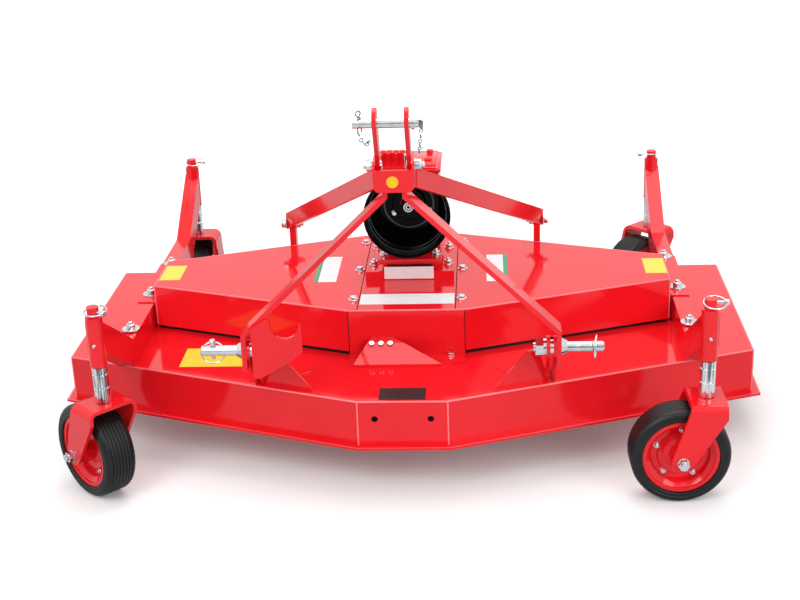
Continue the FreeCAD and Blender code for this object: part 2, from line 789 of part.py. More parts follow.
def gearbox():
    """Casting with a boss round the input shaft and a ribbed bearing cover on its top."""
    z0 = up(cover_height + stand_height)
    half = gearbox_half_width
    y1 = gearbox_front_y + gearbox_length
    top = z0 + gearbox_height
    body = box(-half, half, gearbox_front_y, y1, z0, top)
    long_edges = [edge for edge in body.Edges if edge.BoundBox.YLength > 1]
    body = body.makeFillet(gearbox_round, long_edges)
    centre = V(0, gearbox_front_y - gearbox_boss_length, up(pto_height))
    body = body.fuse(cylinder(2 * gearbox_boss_radius, centre, Y, gearbox_boss_length + 2))
    bore = cylinder(pto_diameter + 2 * fit, centre - Y, Y, 60)
    body = body.fuse(box(-half, half, gearbox_front_y, y1, z0, z0 + gearbox_foot))
    left = bearing_cover_x - bearing_cover_width / 2
    y0 = gearbox_front_y + bearing_cover_front
    roof = top + bearing_cover_height
    body = body.fuse(box(left, left + bearing_cover_width, y0, y0 + bearing_cover_depth, top - 1, roof))
    spacing = (bearing_cover_width - bearing_rib_width) / 3
    for index in range(4):
        x = left + index * spacing
        body = body.fuse(box(x, x + bearing_rib_width, y0 - bearing_rib_depth, y0 + 1, top - 1, roof))
    body = body.fuse(cylinder(oil_cap_diameter, V(oil_cap_x, oil_cap_y, top - 1), Z, oil_cap_height + 1))
    return body.cut(bore).removeSplitter()


def pto_shaft():
    """Six-spline input stub that goes into the gearbox."""
    start = V(0, pto_front_y, up(pto_height))
    length = gearbox_front_y - pto_front_y + 40
    shaft = cylinder(pto_diameter, start, Y, length)
    for index in range(6):
        angle = math.radians(60 * index)
        slot = box(-3, 3, -1, 62, pto_diameter / 2 - 2.6, pto_diameter)
        slot.Placement = FreeCAD.Placement(start, FreeCAD.Rotation(Y, math.degrees(angle)))
        shaft = shaft.cut(slot)
    return shaft


def pto_shield():
    """Bowl round the input shaft, open towards the tractor."""
    y0 = shield_front_y
    y1 = gearbox_front_y
    r = shield_radius
    hole = gearbox_boss_radius + fit
    outer = [(r, y0), (r, y0 + 12), (r - 6, y0 + 18), (r - 10, y1 - 34), (r - 28, y1 - 6), (hole, y1 - 6)]
    inner = [(radius, y) for radius, y in offset_line(outer, shield_sheet)]
    points = [V(radius, y, up(pto_height)) for radius, y in outer + inner[::-1]]
    return outline(points).revolve(V(0, 0, up(pto_height)), Y, 360)


def spindle_places():
    return {"left": (-outer_blade_x, outer_blade_y), "centre": (0, centre_blade_y),
            "right": (outer_blade_x, outer_blade_y)}


def spindle_housings():
    """The three bearing housings bolted under the deck."""
    top = deck_top - deck_sheet
    bottom = blade_height + blade_sheet + 14
    housings = []
    for x, y in spindle_places().values():
        body = cylinder(2 * housing_radius, V(x, y, top - housing_flange), Z, housing_flange)
        body = body.fuse(cylinder(2 * housing_body_radius, V(x, y, bottom), Z, top - bottom))
        bore = cylinder(blade_shaft_diameter + 2 * fit, V(x, y, bottom - 1), Z, top - bottom - 7)
        housings.append(body.cut(bore).removeSplitter())
    return Part.Compound(housings)


def blade(x, y):
    """Flat blade with two raised wings, on its hub and shaft."""
    z0 = blade_height
    half = blade_length / 2
    bar = box(-half, half, -blade_width / 2, blade_width / 2, z0, z0 + blade_sheet)
    for sign in (-1, 1):
        wing_line = [V(sign * (half - 90), sign * blade_width / 2, z0),
                     V(sign * half, sign * blade_width / 2, z0),
                     V(sign * half, sign * (blade_width / 2 + blade_wing), z0 + blade_wing),
                     V(sign * (half - 80), sign * (blade_width / 2 + blade_wing), z0 + blade_wing)]
        bar = bar.fuse(outline(wing_line).extrude(V(0, 0, blade_sheet)))
    hub = cylinder(2 * blade_hub_radius, V(0, 0, z0 - 10), Z, blade_sheet + 20)
    shaft = cylinder(blade_shaft_diameter, V(0, 0, z0), Z, 60)
    whole = bar.fuse(hub).fuse(shaft).removeSplitter()
    whole.translate(V(x, y, 0))
    return whole


def save(name, shape):
    moved = shape.copy()
    moved.translate(V(0, front_corner_y, 0))
    moved.exportStep("parts/" + name + ".step")


def save_pair(name, right_shape):
    save(name + "_right", right_shape)
    save(name + "_left", mirrored(right_shape))


os.makedirs("parts", exist_ok=True)

save("deck_top", deck_top_sheet())
save("deck_side_left", skirt(0))
save("deck_front_left", skirt(1))
save("deck_nose", nose_skirt())
save("deck_front_right", skirt(3))
save("deck_side_right", skirt(4))

save("belt_cover_centre", centre_cover())
save_pair("belt_cover", right_cover())
save("cover_tongue", cover_tongue())

save_pair("caster_arm_front", front_arm())
save_pair("caster_arm_rear", rear_arm())

casters = {"front_left": (-caster_x, caster_front_y, 136.0),
           "front_right": (caster_x, caster_front_y, 181.9),
           "rear_left": (-caster_x, caster_rear_y, 90.0),
           "rear_right": (caster_x, caster_rear_y, 225.0)}
for corner, (x, y, heading) in casters.items():
    save("fork_" + corner, placed(fork(), x, y, heading))
    save("spacers_" + corner, placed(height_spacers(), x, y, heading))
    save("axle_" + corner, placed(wheel_axle(), x, y, heading))
    save("rim_" + corner, placed(rim(), x, y, heading))
    save("tyre_" + corner, placed(tyre(), x, y, heading))

save("mast_head", mast_head())
save_pair("front_stay", front_stay())
save_pair("rear_stay", rear_stay())
save("rear_posts", Part.Compound([rear_post(), mirrored(rear_post())]))
save_pair("hitch_bracket", hitch_bracket())
save_pair("hitch_pin", hitch_pin())
save("shaft_rest", shaft_rest())
save("lug_bolts", Part.Compound([lug_bolt(), mirrored(lug_bolt())]))
save_pair("link_lug", link_lug())
save("link_pin", link_pin())

save("gearbox_stand", gearbox_stand())
save("gearbox", gearbox())
save("pto_shield", pto_shield())
save("pto_shaft", pto_shaft())
save("spindle_housings", spindle_housings())
for name, (x, y) in spindle_places().items():
    save("blade_" + name, blade(x, y))
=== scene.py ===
"""Looks of a three-point finishing mower: its finishes, fasteners, pins, plates, treads and studio."""

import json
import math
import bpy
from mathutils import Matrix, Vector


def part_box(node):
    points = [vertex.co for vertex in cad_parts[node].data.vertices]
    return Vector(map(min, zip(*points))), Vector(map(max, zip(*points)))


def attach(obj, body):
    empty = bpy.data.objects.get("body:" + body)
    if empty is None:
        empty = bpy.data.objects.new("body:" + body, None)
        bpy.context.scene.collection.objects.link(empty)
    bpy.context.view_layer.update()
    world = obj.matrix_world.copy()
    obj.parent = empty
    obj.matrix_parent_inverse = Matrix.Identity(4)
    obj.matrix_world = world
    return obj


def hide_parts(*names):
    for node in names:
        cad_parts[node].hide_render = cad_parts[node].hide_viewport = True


bl_info = {
    "name": "Finishing mower",
    "version": (1, 0, 0),
    "blender": (4, 5, 0),
    "location": "3D View > Sidebar > Mower",
    "description": "Dresses the finishing mower's frame with finishes, fasteners, treads and plates",
    "category": "Object",
}

import bpy
from mathutils import Matrix, Vector

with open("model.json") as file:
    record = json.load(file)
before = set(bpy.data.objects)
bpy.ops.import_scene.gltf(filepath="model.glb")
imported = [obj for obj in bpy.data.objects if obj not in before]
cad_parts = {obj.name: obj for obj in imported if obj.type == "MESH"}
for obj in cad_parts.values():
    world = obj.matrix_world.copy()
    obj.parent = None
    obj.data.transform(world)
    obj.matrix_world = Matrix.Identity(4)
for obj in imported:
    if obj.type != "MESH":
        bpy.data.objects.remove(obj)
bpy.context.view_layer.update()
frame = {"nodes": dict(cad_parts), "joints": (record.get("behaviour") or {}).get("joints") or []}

X = Vector((1, 0, 0))
Y = Vector((0, 1, 0))
Z = Vector((0, 0, 1))
ORIGIN = Vector((0, 0, 0))
CORNERS = ("front_left", "front_right", "rear_left", "rear_right")

# Sizes in millimetres that the frame's pieces were made to
NOSE_REACH = 256.0
DECK_LOW, DECK_HIGH = [Vector(corner) * 1000 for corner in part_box("deck_top")]
DECK_TOP = DECK_HIGH.z
CORNER_Y = DECK_LOW.y + NOSE_REACH
COVER_TOP = 110.0       # above the deck


def place(x, y, z):
    """Metres, from millimetres across, behind the deck's front corners and above the deck."""
    return Vector((x, y + CORNER_Y, z + DECK_TOP)) / 1000


def box_mm(node):
    """A frame piece's lowest and highest corner in millimetres."""
    return [Vector(corner) * 1000 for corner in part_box(node)]


def joint_line(name):
    """Place in metres and direction of a joint."""
    joint = next(joint for joint in frame["joints"] if joint["name"] == name)
    return Vector(joint["pos_m"]), Vector(joint["axis"]).normalized()


# ---------------------------------------------------------------- modelling by hand


def fresh():
    """Back to object mode with nothing selected."""
    if bpy.context.object and bpy.context.object.mode != "OBJECT":
        bpy.ops.object.mode_set(mode="OBJECT")
    bpy.ops.object.select_all(action="DESELECT")


def pencil(name, start):
    """A mesh with one vertex, in edit mode, from which a line is drawn by extruding."""
    fresh()
    bpy.ops.mesh.primitive_plane_add(size=0.001, location=(0, 0, 0))
    piece = bpy.context.object
    piece.name = name
    piece.data.name = name
    bpy.ops.object.mode_set(mode="EDIT")
    bpy.ops.mesh.select_all(action="SELECT")
    bpy.ops.mesh.merge(type="CENTER")
    bpy.ops.transform.translate(value=start)
    return piece


def draw(points):
    """Extrudes the selected vertex along the points that follow the first."""
    for before, after in zip(points, points[1:]):
        step = Vector(after) - Vector(before)
        bpy.ops.mesh.extrude_region_move(TRANSFORM_OT_translate={"value": step})


def chosen(*pieces):
    """Object mode with these pieces selected and the first of them active."""
    fresh()
    for piece in pieces:
        piece.select_set(True)
    bpy.context.view_layer.objects.active = pieces[0]


def smooth(piece, degrees=32):
    """Smooth shading, apart from edges sharper than some degrees."""
    chosen(piece)
    bpy.ops.object.shade_smooth_by_angle(angle=math.radians(degrees))


def rounded(piece, width, segments=2, degrees=30):
    """Rounds a piece's sharp edges; width in millimetres."""
    chosen(piece)
    bevel = piece.modifiers.new("Rounded edges", "BEVEL")
    bevel.width = width / 1000
    bevel.segments = segments
    bevel.limit_method = "ANGLE"
    bevel.angle_limit = math.radians(degrees)
    bevel.harden_normals = False
    bpy.ops.object.modifier_apply(modifier=bevel.name)
    smooth(piece)
    return piece


def turned(name, profile, centre, axis, steps=32, degrees=32):
    """Turns a profile of (radius, distance along the axis), in millimetres, about an axis."""
    axis = Vector(axis).normalized()
    side = axis.orthogonal().normalized()
    points = [Vector(centre) + side * r / 1000 + axis * a / 1000 for r, a in profile]
    piece = pencil(name, points[0])
    draw(points)
    bpy.ops.mesh.select_all(action="SELECT")
    bpy.ops.mesh.spin(steps=steps, angle=2 * math.pi, center=centre, axis=axis)
    bpy.ops.mesh.select_all(action="SELECT")
    bpy.ops.mesh.remove_doubles(threshold=0.00002)
    bpy.ops.mesh.normals_make_consistent(inside=False)
    bpy.ops.object.mode_set(mode="OBJECT")
    smooth(piece, degrees)
    return piece


def sheet(name, points, thickness, edge=0.0, segments=2):
    """A flat plate over an outline of places, thickened along a vector in metres."""
    piece = pencil(name, points[0])
    draw(points)
    bpy.ops.mesh.select_all(action="SELECT")
    bpy.ops.mesh.edge_face_add()
    bpy.ops.mesh.extrude_region_move(TRANSFORM_OT_translate={"value": thickness})
    bpy.ops.mesh.select_all(action="SELECT")
    bpy.ops.mesh.normals_make_consistent(inside=False)
    bpy.ops.object.mode_set(mode="OBJECT")
    if edge:
        rounded(piece, edge, segments)
    else:
        smooth(piece)
    return piece


def wire(name, points, diameter, closed=False, sides=2, straight=False):
    """A round wire along control points, smooth or straight between them; diameter in millimetres."""
    pencil(name, points[0])
    draw(list(points) + [points[0]] if closed else points)
    bpy.ops.mesh.select_all(action="SELECT")
    bpy.ops.mesh.remove_doubles(threshold=0.00001)
    bpy.ops.object.mode_set(mode="OBJECT")
    bpy.ops.object.convert(target="CURVE")
    line = bpy.context.object
    spline = line.data.splines[0]
    if not straight:
        spline.type = "NURBS"
        spline.order_u = 3
        spline.use_endpoint_u = not closed
        spline.resolution_u = 6
    line.data.dimensions = "3D"
    line.data.bevel_depth = diameter / 2000
    line.data.bevel_resolution = sides
    line.data.use_fill_caps = True
    chosen(line)
    bpy.ops.object.convert(target="MESH")
    piece = bpy.context.object
    smooth(piece, 60)
    return piece


def joined(name, pieces):
    """One piece of several."""
    chosen(*pieces)
    if len(pieces) > 1:
        bpy.ops.object.join()
    whole = bpy.context.object
    whole.name = name
    whole.data.name = name
    return whole


def copied(piece, name, matrix):
    """A copy with its own mesh, moved by a matrix that goes into the mesh."""
    chosen(piece)
    bpy.ops.object.duplicate(linked=False)
    twin = bpy.context.object
    twin.name = name
    twin.data.name = name
    twin.matrix_world = matrix
    bpy.ops.object.transform_apply(location=True, rotation=True, scale=True)
    if matrix.determinant() < 0:
        bpy.ops.object.mode_set(mode="EDIT")
        bpy.ops.mesh.select_all(action="SELECT")
        bpy.ops.mesh.normals_make_consistent(inside=False)
        bpy.ops.object.mode_set(mode="OBJECT")
    return twin


def removed(*pieces):
    """Takes away pieces that were made to be copied."""
    fresh()
    for piece in pieces:
        piece.select_set(True)
    bpy.ops.object.delete()


def aimed(at, axis, turn=0.0):
    """Stands a piece that was made upright at the origin on a place, along an axis."""
    tilt = Vector(axis).to_track_quat("Z", "Y").to_matrix().to_4x4()
    return Matrix.Translation(Vector(at)) @ tilt @ Matrix.Rotation(turn, 4, "Z")


def rotation(degrees, axis):
    """Matrix that turns about the X, Y or Z axis."""
    return Matrix.Rotation(math.radians(degrees), 4, axis)


def set_of(name, piece, stands):
    """Copies of a piece on each stand (place, axis, turn), as one piece."""
    copies = [copied(piece, name + "_%d" % index, aimed(at, axis, turn))
              for index, (at, axis, turn) in enumerate(stands)]
    return joined(name, copies)


def worn_by(piece, body, material):
    """Gives a piece its finish and lets it move with a body."""
    piece.data.materials.clear()
    piece.data.materials.append(material)
    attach(piece, body)
    return piece


def hex_bolt(name, across, head, washer, sheet_washer, thread=0.0, thread_diameter=12.0):
    """A hexagon head or nut on a round washer, upright at the origin; sizes in millimetres."""
    fresh()
    bpy.ops.mesh.primitive_cylinder_add(vertices=6, radius=across / math.sqrt(3) / 1000,
                                        depth=head / 1000,
                                        location=(0, 0, (sheet_washer + head / 2) / 1000))
    nut = bpy.context.object
    bpy.ops.object.transform_apply(location=True)
    bpy.ops.object.mode_set(mode="EDIT")
    bpy.ops.mesh.select_all(action="DESELECT")
    bpy.ops.object.mode_set(mode="OBJECT")
    for face in nut.data.polygons:
        face.select = face.normal.z > 0.9
    bpy.ops.object.mode_set(mode="EDIT")
    bpy.ops.mesh.inset(thickness=across * 0.07 / 1000, depth=across * 0.045 / 1000)
    if thread:
        bpy.ops.mesh.inset(thickness=(across * 0.5 - thread_diameter * 0.54) / 1000)
        bpy.ops.mesh.extrude_region_move(TRANSFORM_OT_translate={"value": (0, 0, thread / 1000)})
        bpy.ops.mesh.inset(thickness=thread_diameter * 0.12 / 1000, depth=0.0008)
    else:
        bpy.ops.mesh.inset(thickness=across * 0.12 / 1000, depth=-across * 0.02 / 1000)
    bpy.ops.object.mode_set(mode="OBJECT")
    rounded(nut, 0.5, 1, 40)
    half = washer / 2
    ring = turned(name + "_washer", [(0, 0), (half, 0), (half, sheet_washer * 0.8),
                                     (half - 0.6, sheet_washer), (0, sheet_washer)], ORIGIN, Z, 24)
    return joined(name, [nut, ring])


# ---------------------------------------------------------------- finishes


def linear(code, alpha=1.0):
    """Linear colour of an sRGB hex value."""
    parts = [int(code[i:i + 2], 16) / 255 for i in (1, 3, 5)]
    return tuple(p / 12.92 if p <= 0.04045 else ((p + 0.055) / 1.055) ** 2.4 for p in parts) + (alpha,)


def add(tree, kind, settings=None, links=None):
    """Adds a node with its settings, and links its inputs from other nodes' outputs."""
    node = tree.nodes.new(kind)
    for key, value in (settings or {}).items():
        if isinstance(key, str) and hasattr(node, key):
            setattr(node, key, value)
        else:
            node.inputs[key].default_value = value
    for key, (source, output) in (links or {}).items():
        tree.links.new(source.outputs[output], node.inputs[key])
    return node


def blank(name):
    """An empty material with its output node."""
    material = bpy.data.materials.new(name)
    material.use_nodes = True
    tree = material.node_tree
    tree.nodes.clear()
    return material, tree, add(tree, "ShaderNodeOutputMaterial")


def ranged(tree, value, low, high, to_low, to_high):
    """Maps a value, given as (node, output), from one range to another."""
    return add(tree, "ShaderNodeMapRange",
               {"From Min": low, "From Max": high, "To Min": to_low, "To Max": to_high}, {"Value": value})


def shaded(tree, colours, factor, settings):
    """A Principled shader whose colour runs over a ramp of (position, hex)."""
    ramp = add(tree, "ShaderNodeValToRGB", {}, {"Fac": factor})
    elements = ramp.color_ramp.elements
    while len(elements) < len(colours):
        elements.new(0.5)
    for element, (position, code) in zip(elements, colours):
        element.position = position
        element.color = linear(code)
    return add(tree, "ShaderNodeBsdfPrincipled", settings, {"Base Color": (ramp, "Color")})


def noise_at(tree, coordinates, size_mm, detail=3.0, roughness=0.5):
    """Noise whose spots are about size_mm across."""
    return add(tree, "ShaderNodeTexNoise",
               {"Scale": 1000 / size_mm, "Detail": detail, "Roughness": roughness},
               {"Vector": (coordinates, "Object")})


def finished(tree, shader, output, relief, strength, distance):
    """Ends a material: a texture's relief goes into the shader, and the shader into the output."""
    bump = add(tree, "ShaderNodeBump", {"Strength": strength, "Distance": distance},
               {"Height": (relief, "Fac")})
    tree.links.new(bump.outputs["Normal"], shader.inputs["Normal"])
    tree.links.new(shader.outputs["BSDF"], output.inputs["Surface"])


def red_enamel(name, body, shade):
    """Sprayed and baked enamel on sheet steel: deep even red, a wet gloss and a faint orange peel."""
    material, tree, output = blank(name)
    where = add(tree, "ShaderNodeTexCoord")
    patches = noise_at(tree, where, 220, 2)
    shader = shaded(tree, [(0.35, shade), (0.65, body)], (patches, "Fac"), {"IOR": 1.46})
    # Orange peel is 2 mm across in the real paint; drawn at 9 mm so that it just breaks up the highlights.
    peel = noise_at(tree, where, 9, 1)
    # Dust and handling leave the gloss uneven over a hand's width.
    grime = noise_at(tree, where, 110, 3)
    rough = ranged(tree, (grime, "Fac"), 0.35, 0.7, 0.07, 0.14)
    tree.links.new(rough.outputs["Result"], shader.inputs["Roughness"])
    finished(tree, shader, output, peel, 0.03, 0.0003)
    return material


def zinc_plate():
    """Bright zinc plate on steel: cool grey, a soft mirror that clouds over in places."""
    material, tree, output = blank("Bright zinc plate")
    where = add(tree, "ShaderNodeTexCoord")
    clouds = noise_at(tree, where, 14, 2)
    shader = shaded(tree, [(0.3, "#CFD3D7"), (0.7, "#ECEEF0")], (clouds, "Fac"), {"Metallic": 1.0})
    rough = ranged(tree, (clouds, "Fac"), 0.0, 1.0, 0.1, 0.22)
    tree.links.new(rough.outputs["Result"], shader.inputs["Roughness"])
    # Turning and plating leave fine marks, under a millimetre apart; drawn at 3 mm.
    fine = noise_at(tree, where, 3, 2)
    finished(tree, shader, output, fine, 0.05, 0.0003)
    return material


def drawn_tube():
    """Bright zinc on drawn tube: die lines run along it as bumps, and upright streaks of painted reflection,
    dark grey to white, run through its colour.
    """
    material, tree, output = blank("Bright zinc on drawn tube with painted reflection streaks")
    where = add(tree, "ShaderNodeTexCoord")
    # Die lines lie closer than a millimetre; drawn 5 mm apart and 100 mm long.
    along = add(tree, "ShaderNodeMapping", {"Scale": (1.0, 1.0, 0.05)}, {"Vector": (where, "Object")})
    lines = add(tree, "ShaderNodeTexNoise", {"Scale": 200.0, "Detail": 1.0}, {"Vector": (along, "Vector")})
    # The colour runs from dark grey to white over the same streaks: painted reflections of the room, while
    # the die lines are only the bumps.
    shader = shaded(tree, [(0.42, "#6F7880"), (0.56, "#F0F2F4")], (lines, "Fac"),
                    {"Metallic": 1.0, "Roughness": 0.16})
    finished(tree, shader, output, lines, 0.1, 0.0003)
    return material


def tyre_rubber():
    """Moulded solid rubber: near black, matt, with a fine mould grain and a little dust."""
    material, tree, output = blank("Moulded tyre rubber")
    where = add(tree, "ShaderNodeTexCoord")
    dust = noise_at(tree, where, 45, 5, 0.6)
    shader = shaded(tree, [(0.35, "#0B0C0E"), (0.8, "#17181B")], (dust, "Fac"),
                    {"Roughness": 0.4, "IOR": 1.5, "Specular IOR Level": 0.4})
    # The mould's grain is about 1 mm; drawn at 2 mm so that it shows.
    grain = noise_at(tree, where, 2, 3, 0.6)
    finished(tree, shader, output, grain, 0.25, 0.0006)
    return material


def black_plastic(name, shine):
    """Blow-moulded polyethylene guard: black with a wet shine and a slight ripple."""
    material, tree, output = blank(name)
    where = add(tree, "ShaderNodeTexCoord")
    haze = noise_at(tree, where, 60, 3)
    shader = shaded(tree, [(0.3, "#030304"), (0.8, "#08080A")], (haze, "Fac"),
                    {"Roughness": 0.13, "IOR": 1.45, "Specular IOR Level": shine})
    # The moulding ripples over two finger widths.
    ripple = noise_at(tree, where, 40, 1)
    finished(tree, shader, output, ripple, 0.08, 0.0015)
    return material


def bare_steel(name, light, dark, roughness):
    """Ground steel under oil or blackening: darker than plating, with fine turning marks."""
    material, tree, output = blank(name)
    where = add(tree, "ShaderNodeTexCoord")
    streaks = noise_at(tree, where, 14, 5, 0.65)
    shader = shaded(tree, [(0.3, dark), (0.7, light)], (streaks, "Fac"),
                    {"Metallic": 1.0, "Roughness": roughness})
    # Grinding marks lie 3 mm apart.
    marks = add(tree, "ShaderNodeTexWave", {"Scale": 300.0, "Distortion": 1.5, "Detail": 2.0},
                {"Vector": (where, "Object")})
    finished(tree, shader, output, marks, 0.1, 0.0003)
    return material


def label_film(name, code, shade):
    """Printed vinyl film, left blank: flat colour under a thin clear gloss."""
    material, tree, output = blank(name)
    where = add(tree, "ShaderNodeTexCoord")
    fade = noise_at(tree, where, 25, 2)
    shader = shaded(tree, [(0.2, shade), (0.8, code)], (fade, "Fac"), {"Roughness": 0.35, "IOR": 1.46})
    crease = noise_at(tree, where, 8, 2)
    finished(tree, shader, output, crease, 0.05, 0.0004)
    return material


# ---------------------------------------------------------------- what a user may change


def colour_setting(name, of_what, default):
    """A property that holds a colour as sRGB hex."""
    return bpy.props.StringProperty(name=name, description="sRGB hex of the " + of_what, default=default)


def number_setting(name, description, default, low, high):
    """A property that holds a size or a power within limits."""
    return bpy.props.FloatProperty(name=name, description=description, default=default, min=low, max=high)


class MowerColours(bpy.types.PropertyGroup):
    """Colours of the enamel, the plate and the films"""
    enamel: colour_setting("Enamel", "red enamel", "#EB1A25")
    enamel_shade: colour_setting("Enamel shade", "enamel's darker patches", "#E21721")
    plate_black: colour_setting("Name plate", "blank name plate", "#15161A")
    warning_yellow: colour_setting("Yellow film", "blank yellow labels", "#E9DA44")
    film_white: colour_setting("White film", "blank white labels", "#EDEEF0")
    film_green: colour_setting("Green film", "green bars", "#2FA36B")


class MowerSizes(bpy.types.PropertyGroup):
    """Sizes of the tread, washers and beads, and the power of the lamps"""
    tread_groove: number_setting("Tread groove", "Width of a groove in the tyres, mm", 2.2, 1.0, 6.0)
    tread_depth: number_setting("Tread depth", "Depth of a groove in the tyres, mm", 1.5, 0.5, 6.0)
    tread_grooves: bpy.props.IntProperty(name="Tread grooves", description="Grooves round each tyre",
                                         default=7, min=1, max=11)
    beam_washer: number_setting("Beam washer", "Across the washers on the arms, mm", 41.0, 25.0, 60.0)
    bead: number_setting("Weld bead", "Width of the weld beads, mm", 4.0, 2.0, 12.0)
    key_light: number_setting("Key light", "Power of the large soft lamp, W", 66.0, 0.0, 1000.0)


def colours():
    return bpy.context.scene.mower_colours


def sizes():
    return bpy.context.scene.mower_sizes


FINISHES = {}


def finish(name):
    """A finish by its name, made on first use."""
    made = {
        "enamel": lambda: red_enamel("Red sprayed enamel", colours().enamel, colours().enamel_shade),
        # The folds' light pink is a painted highlight: enamel lightened to stand in for the light caught
        # along rounded edges.
        "edge": lambda: red_enamel("Enamel with a painted highlight on folds", "#FF8085", "#F9747A"),
        "zinc": zinc_plate,
        "rubber": tyre_rubber,
        "plastic": lambda: black_plastic("Black moulded polyethylene", 0.1),
        "ridge": lambda: black_plastic("Black polyethylene rubbed to a shine", 0.9),
        "tube": drawn_tube,
        "amber": lambda: label_film("Amber vinyl film", "#F4C21C", "#E9B414"),
        "steel": lambda: bare_steel("Oiled bare steel", "#A3A5A7", "#6E7073", 0.34),
        "blackened": lambda: bare_steel("Blackened steel", "#232326", "#151517", 0.45),
        "yellow": lambda: label_film("Yellow vinyl film", colours().warning_yellow, "#DCCB3A"),
        "white": lambda: label_film("White vinyl film", colours().film_white, "#E2E4E7"),
        "green": lambda: label_film("Green vinyl film", colours().film_green, "#2A9762"),
        "plate": lambda: label_film("Black lacquered plate", colours().plate_black, "#1D1E22"),
    }
    if name not in FINISHES:
        FINISHES[name] = made[name]()
    return FINISHES[name]


def settled(piece, body, finish_name):
    """Gives a piece a finish by its name and lets it move with a body."""
    return worn_by(piece, body, finish(finish_name))


def fastened(name, fastener, stands):
    """Copies of a zinc fastener on the frame's stands, as one piece."""
    return settled(set_of(name, fastener, stands), "frame", "zinc")


# ---------------------------------------------------------------- pieces


class MOWER_OT_frame_finishes(bpy.types.Operator):
    """Gives every piece of the frame its enamel, zinc, rubber, plastic or steel"""
    bl_idname = "mower.frame_finishes"
    bl_label = "Frame finishes"

    def execute(self, context):
        finishes = {"hitch_pin": "zinc", "lug_bolts": "zinc", "link_pin": "zinc", "spacers": "zinc",
                    "axle": "zinc", "tyre": "rubber", "pto_shield": "plastic", "pto_shaft": "blackened",
                    "blade": "steel"}
        for name, node in frame["nodes"].items():
            kind = next((finishes[start] for start in finishes if name.startswith(start)), "enamel")
            node.data.materials.clear()
            node.data.materials.append(finish(kind))
        return {"FINISHED"}


class MOWER_OT_tyres(bpy.types.Operator):
    """Solid rubber tyres with ribs round the tread and a rim of rubber on each side"""
    bl_idname = "mower.tyres"
    bl_label = "Tyres"

    def profile(self, radius, bore, width):
        """Section of the rubber as (radius, distance across), a closed line."""
        half = width / 2
        side = [(bore, half - 5), (bore + 1.5, half - 1.2), (bore + 4, half), (bore + 6.5, half - 0.6),
                (radius - 15, half - 1.0), (radius - 13.5, half - 0.1), (radius - 11.5, half - 0.3),
                (radius - 7.5, half - 1.6), (radius - 4.2, half - 4.0), (radius - 2.0, half - 7.0),
                (radius - 0.7, half - 10.0)]
        count = sizes().tread_grooves
        reach = half - 13.0
        step = 2 * reach / max(count - 1, 1)
        tread = []
        for index in range(count):
            middle = reach - index * step
            crest = radius - 0.5 * (middle / half) ** 2
            wide = sizes().tread_groove / 2
            floor = crest - sizes().tread_depth
            tread += [(crest, middle + wide), (floor, middle + wide * 0.6), (floor, middle - wide * 0.6),
                      (crest, middle - wide)]
        other = [(r, -a) for r, a in reversed(side)]
        return side + tread + other + side[:1]

    def execute(self, context):
        for corner in CORNERS:
            low, high = box_mm("tyre_" + corner)
            rim_low, rim_high = box_mm("rim_" + corner)
            bore = (rim_high.z - rim_low.z) / 2 + 0.2
            centre, axle = joint_line("roll_" + corner)
            straight_low, straight_high = box_mm("tyre_rear_left")
            width = straight_high.x - straight_low.x
            section = self.profile((high.z - low.z) / 2, bore, width)
            tyre = turned("ribbed_tyre_" + corner, section, centre, axle, 84, 24)
            settled(tyre, "wheel_" + corner, "rubber")
            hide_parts("tyre_" + corner)
        return {"FINISHED"}


class MOWER_OT_wheel_bolts(bpy.types.Operator):
    """Five zinc bolts that clamp the two halves of each rim, with their nuts behind"""
    bl_idname = "mower.wheel_bolts"
    bl_label = "Wheel bolts"

    def execute(self, context):
        circle = 53.0
        web_half = 9.0
        count = 5
        start = -4
        bolt = hex_bolt("rim_bolt", 11, 5, 13.5, 1.4, 2.5, 7)
        for corner in CORNERS:
            centre, axle = joint_line("roll_" + corner)
            stands = []
            for index in range(count):
                angle = math.radians(360 / count * index + start)
                out = Matrix.Rotation(angle, 3, axle) @ Z
                for way in (-1, 1):
                    seat = centre + out * circle / 1000 + axle * way * web_half / 1000
                    stands.append((seat, axle * way, angle))
            bolts = set_of("rim_bolts_" + corner, bolt, stands)
            settled(bolts, "wheel_" + corner, "zinc")
        removed(bolt)
        return {"FINISHED"}


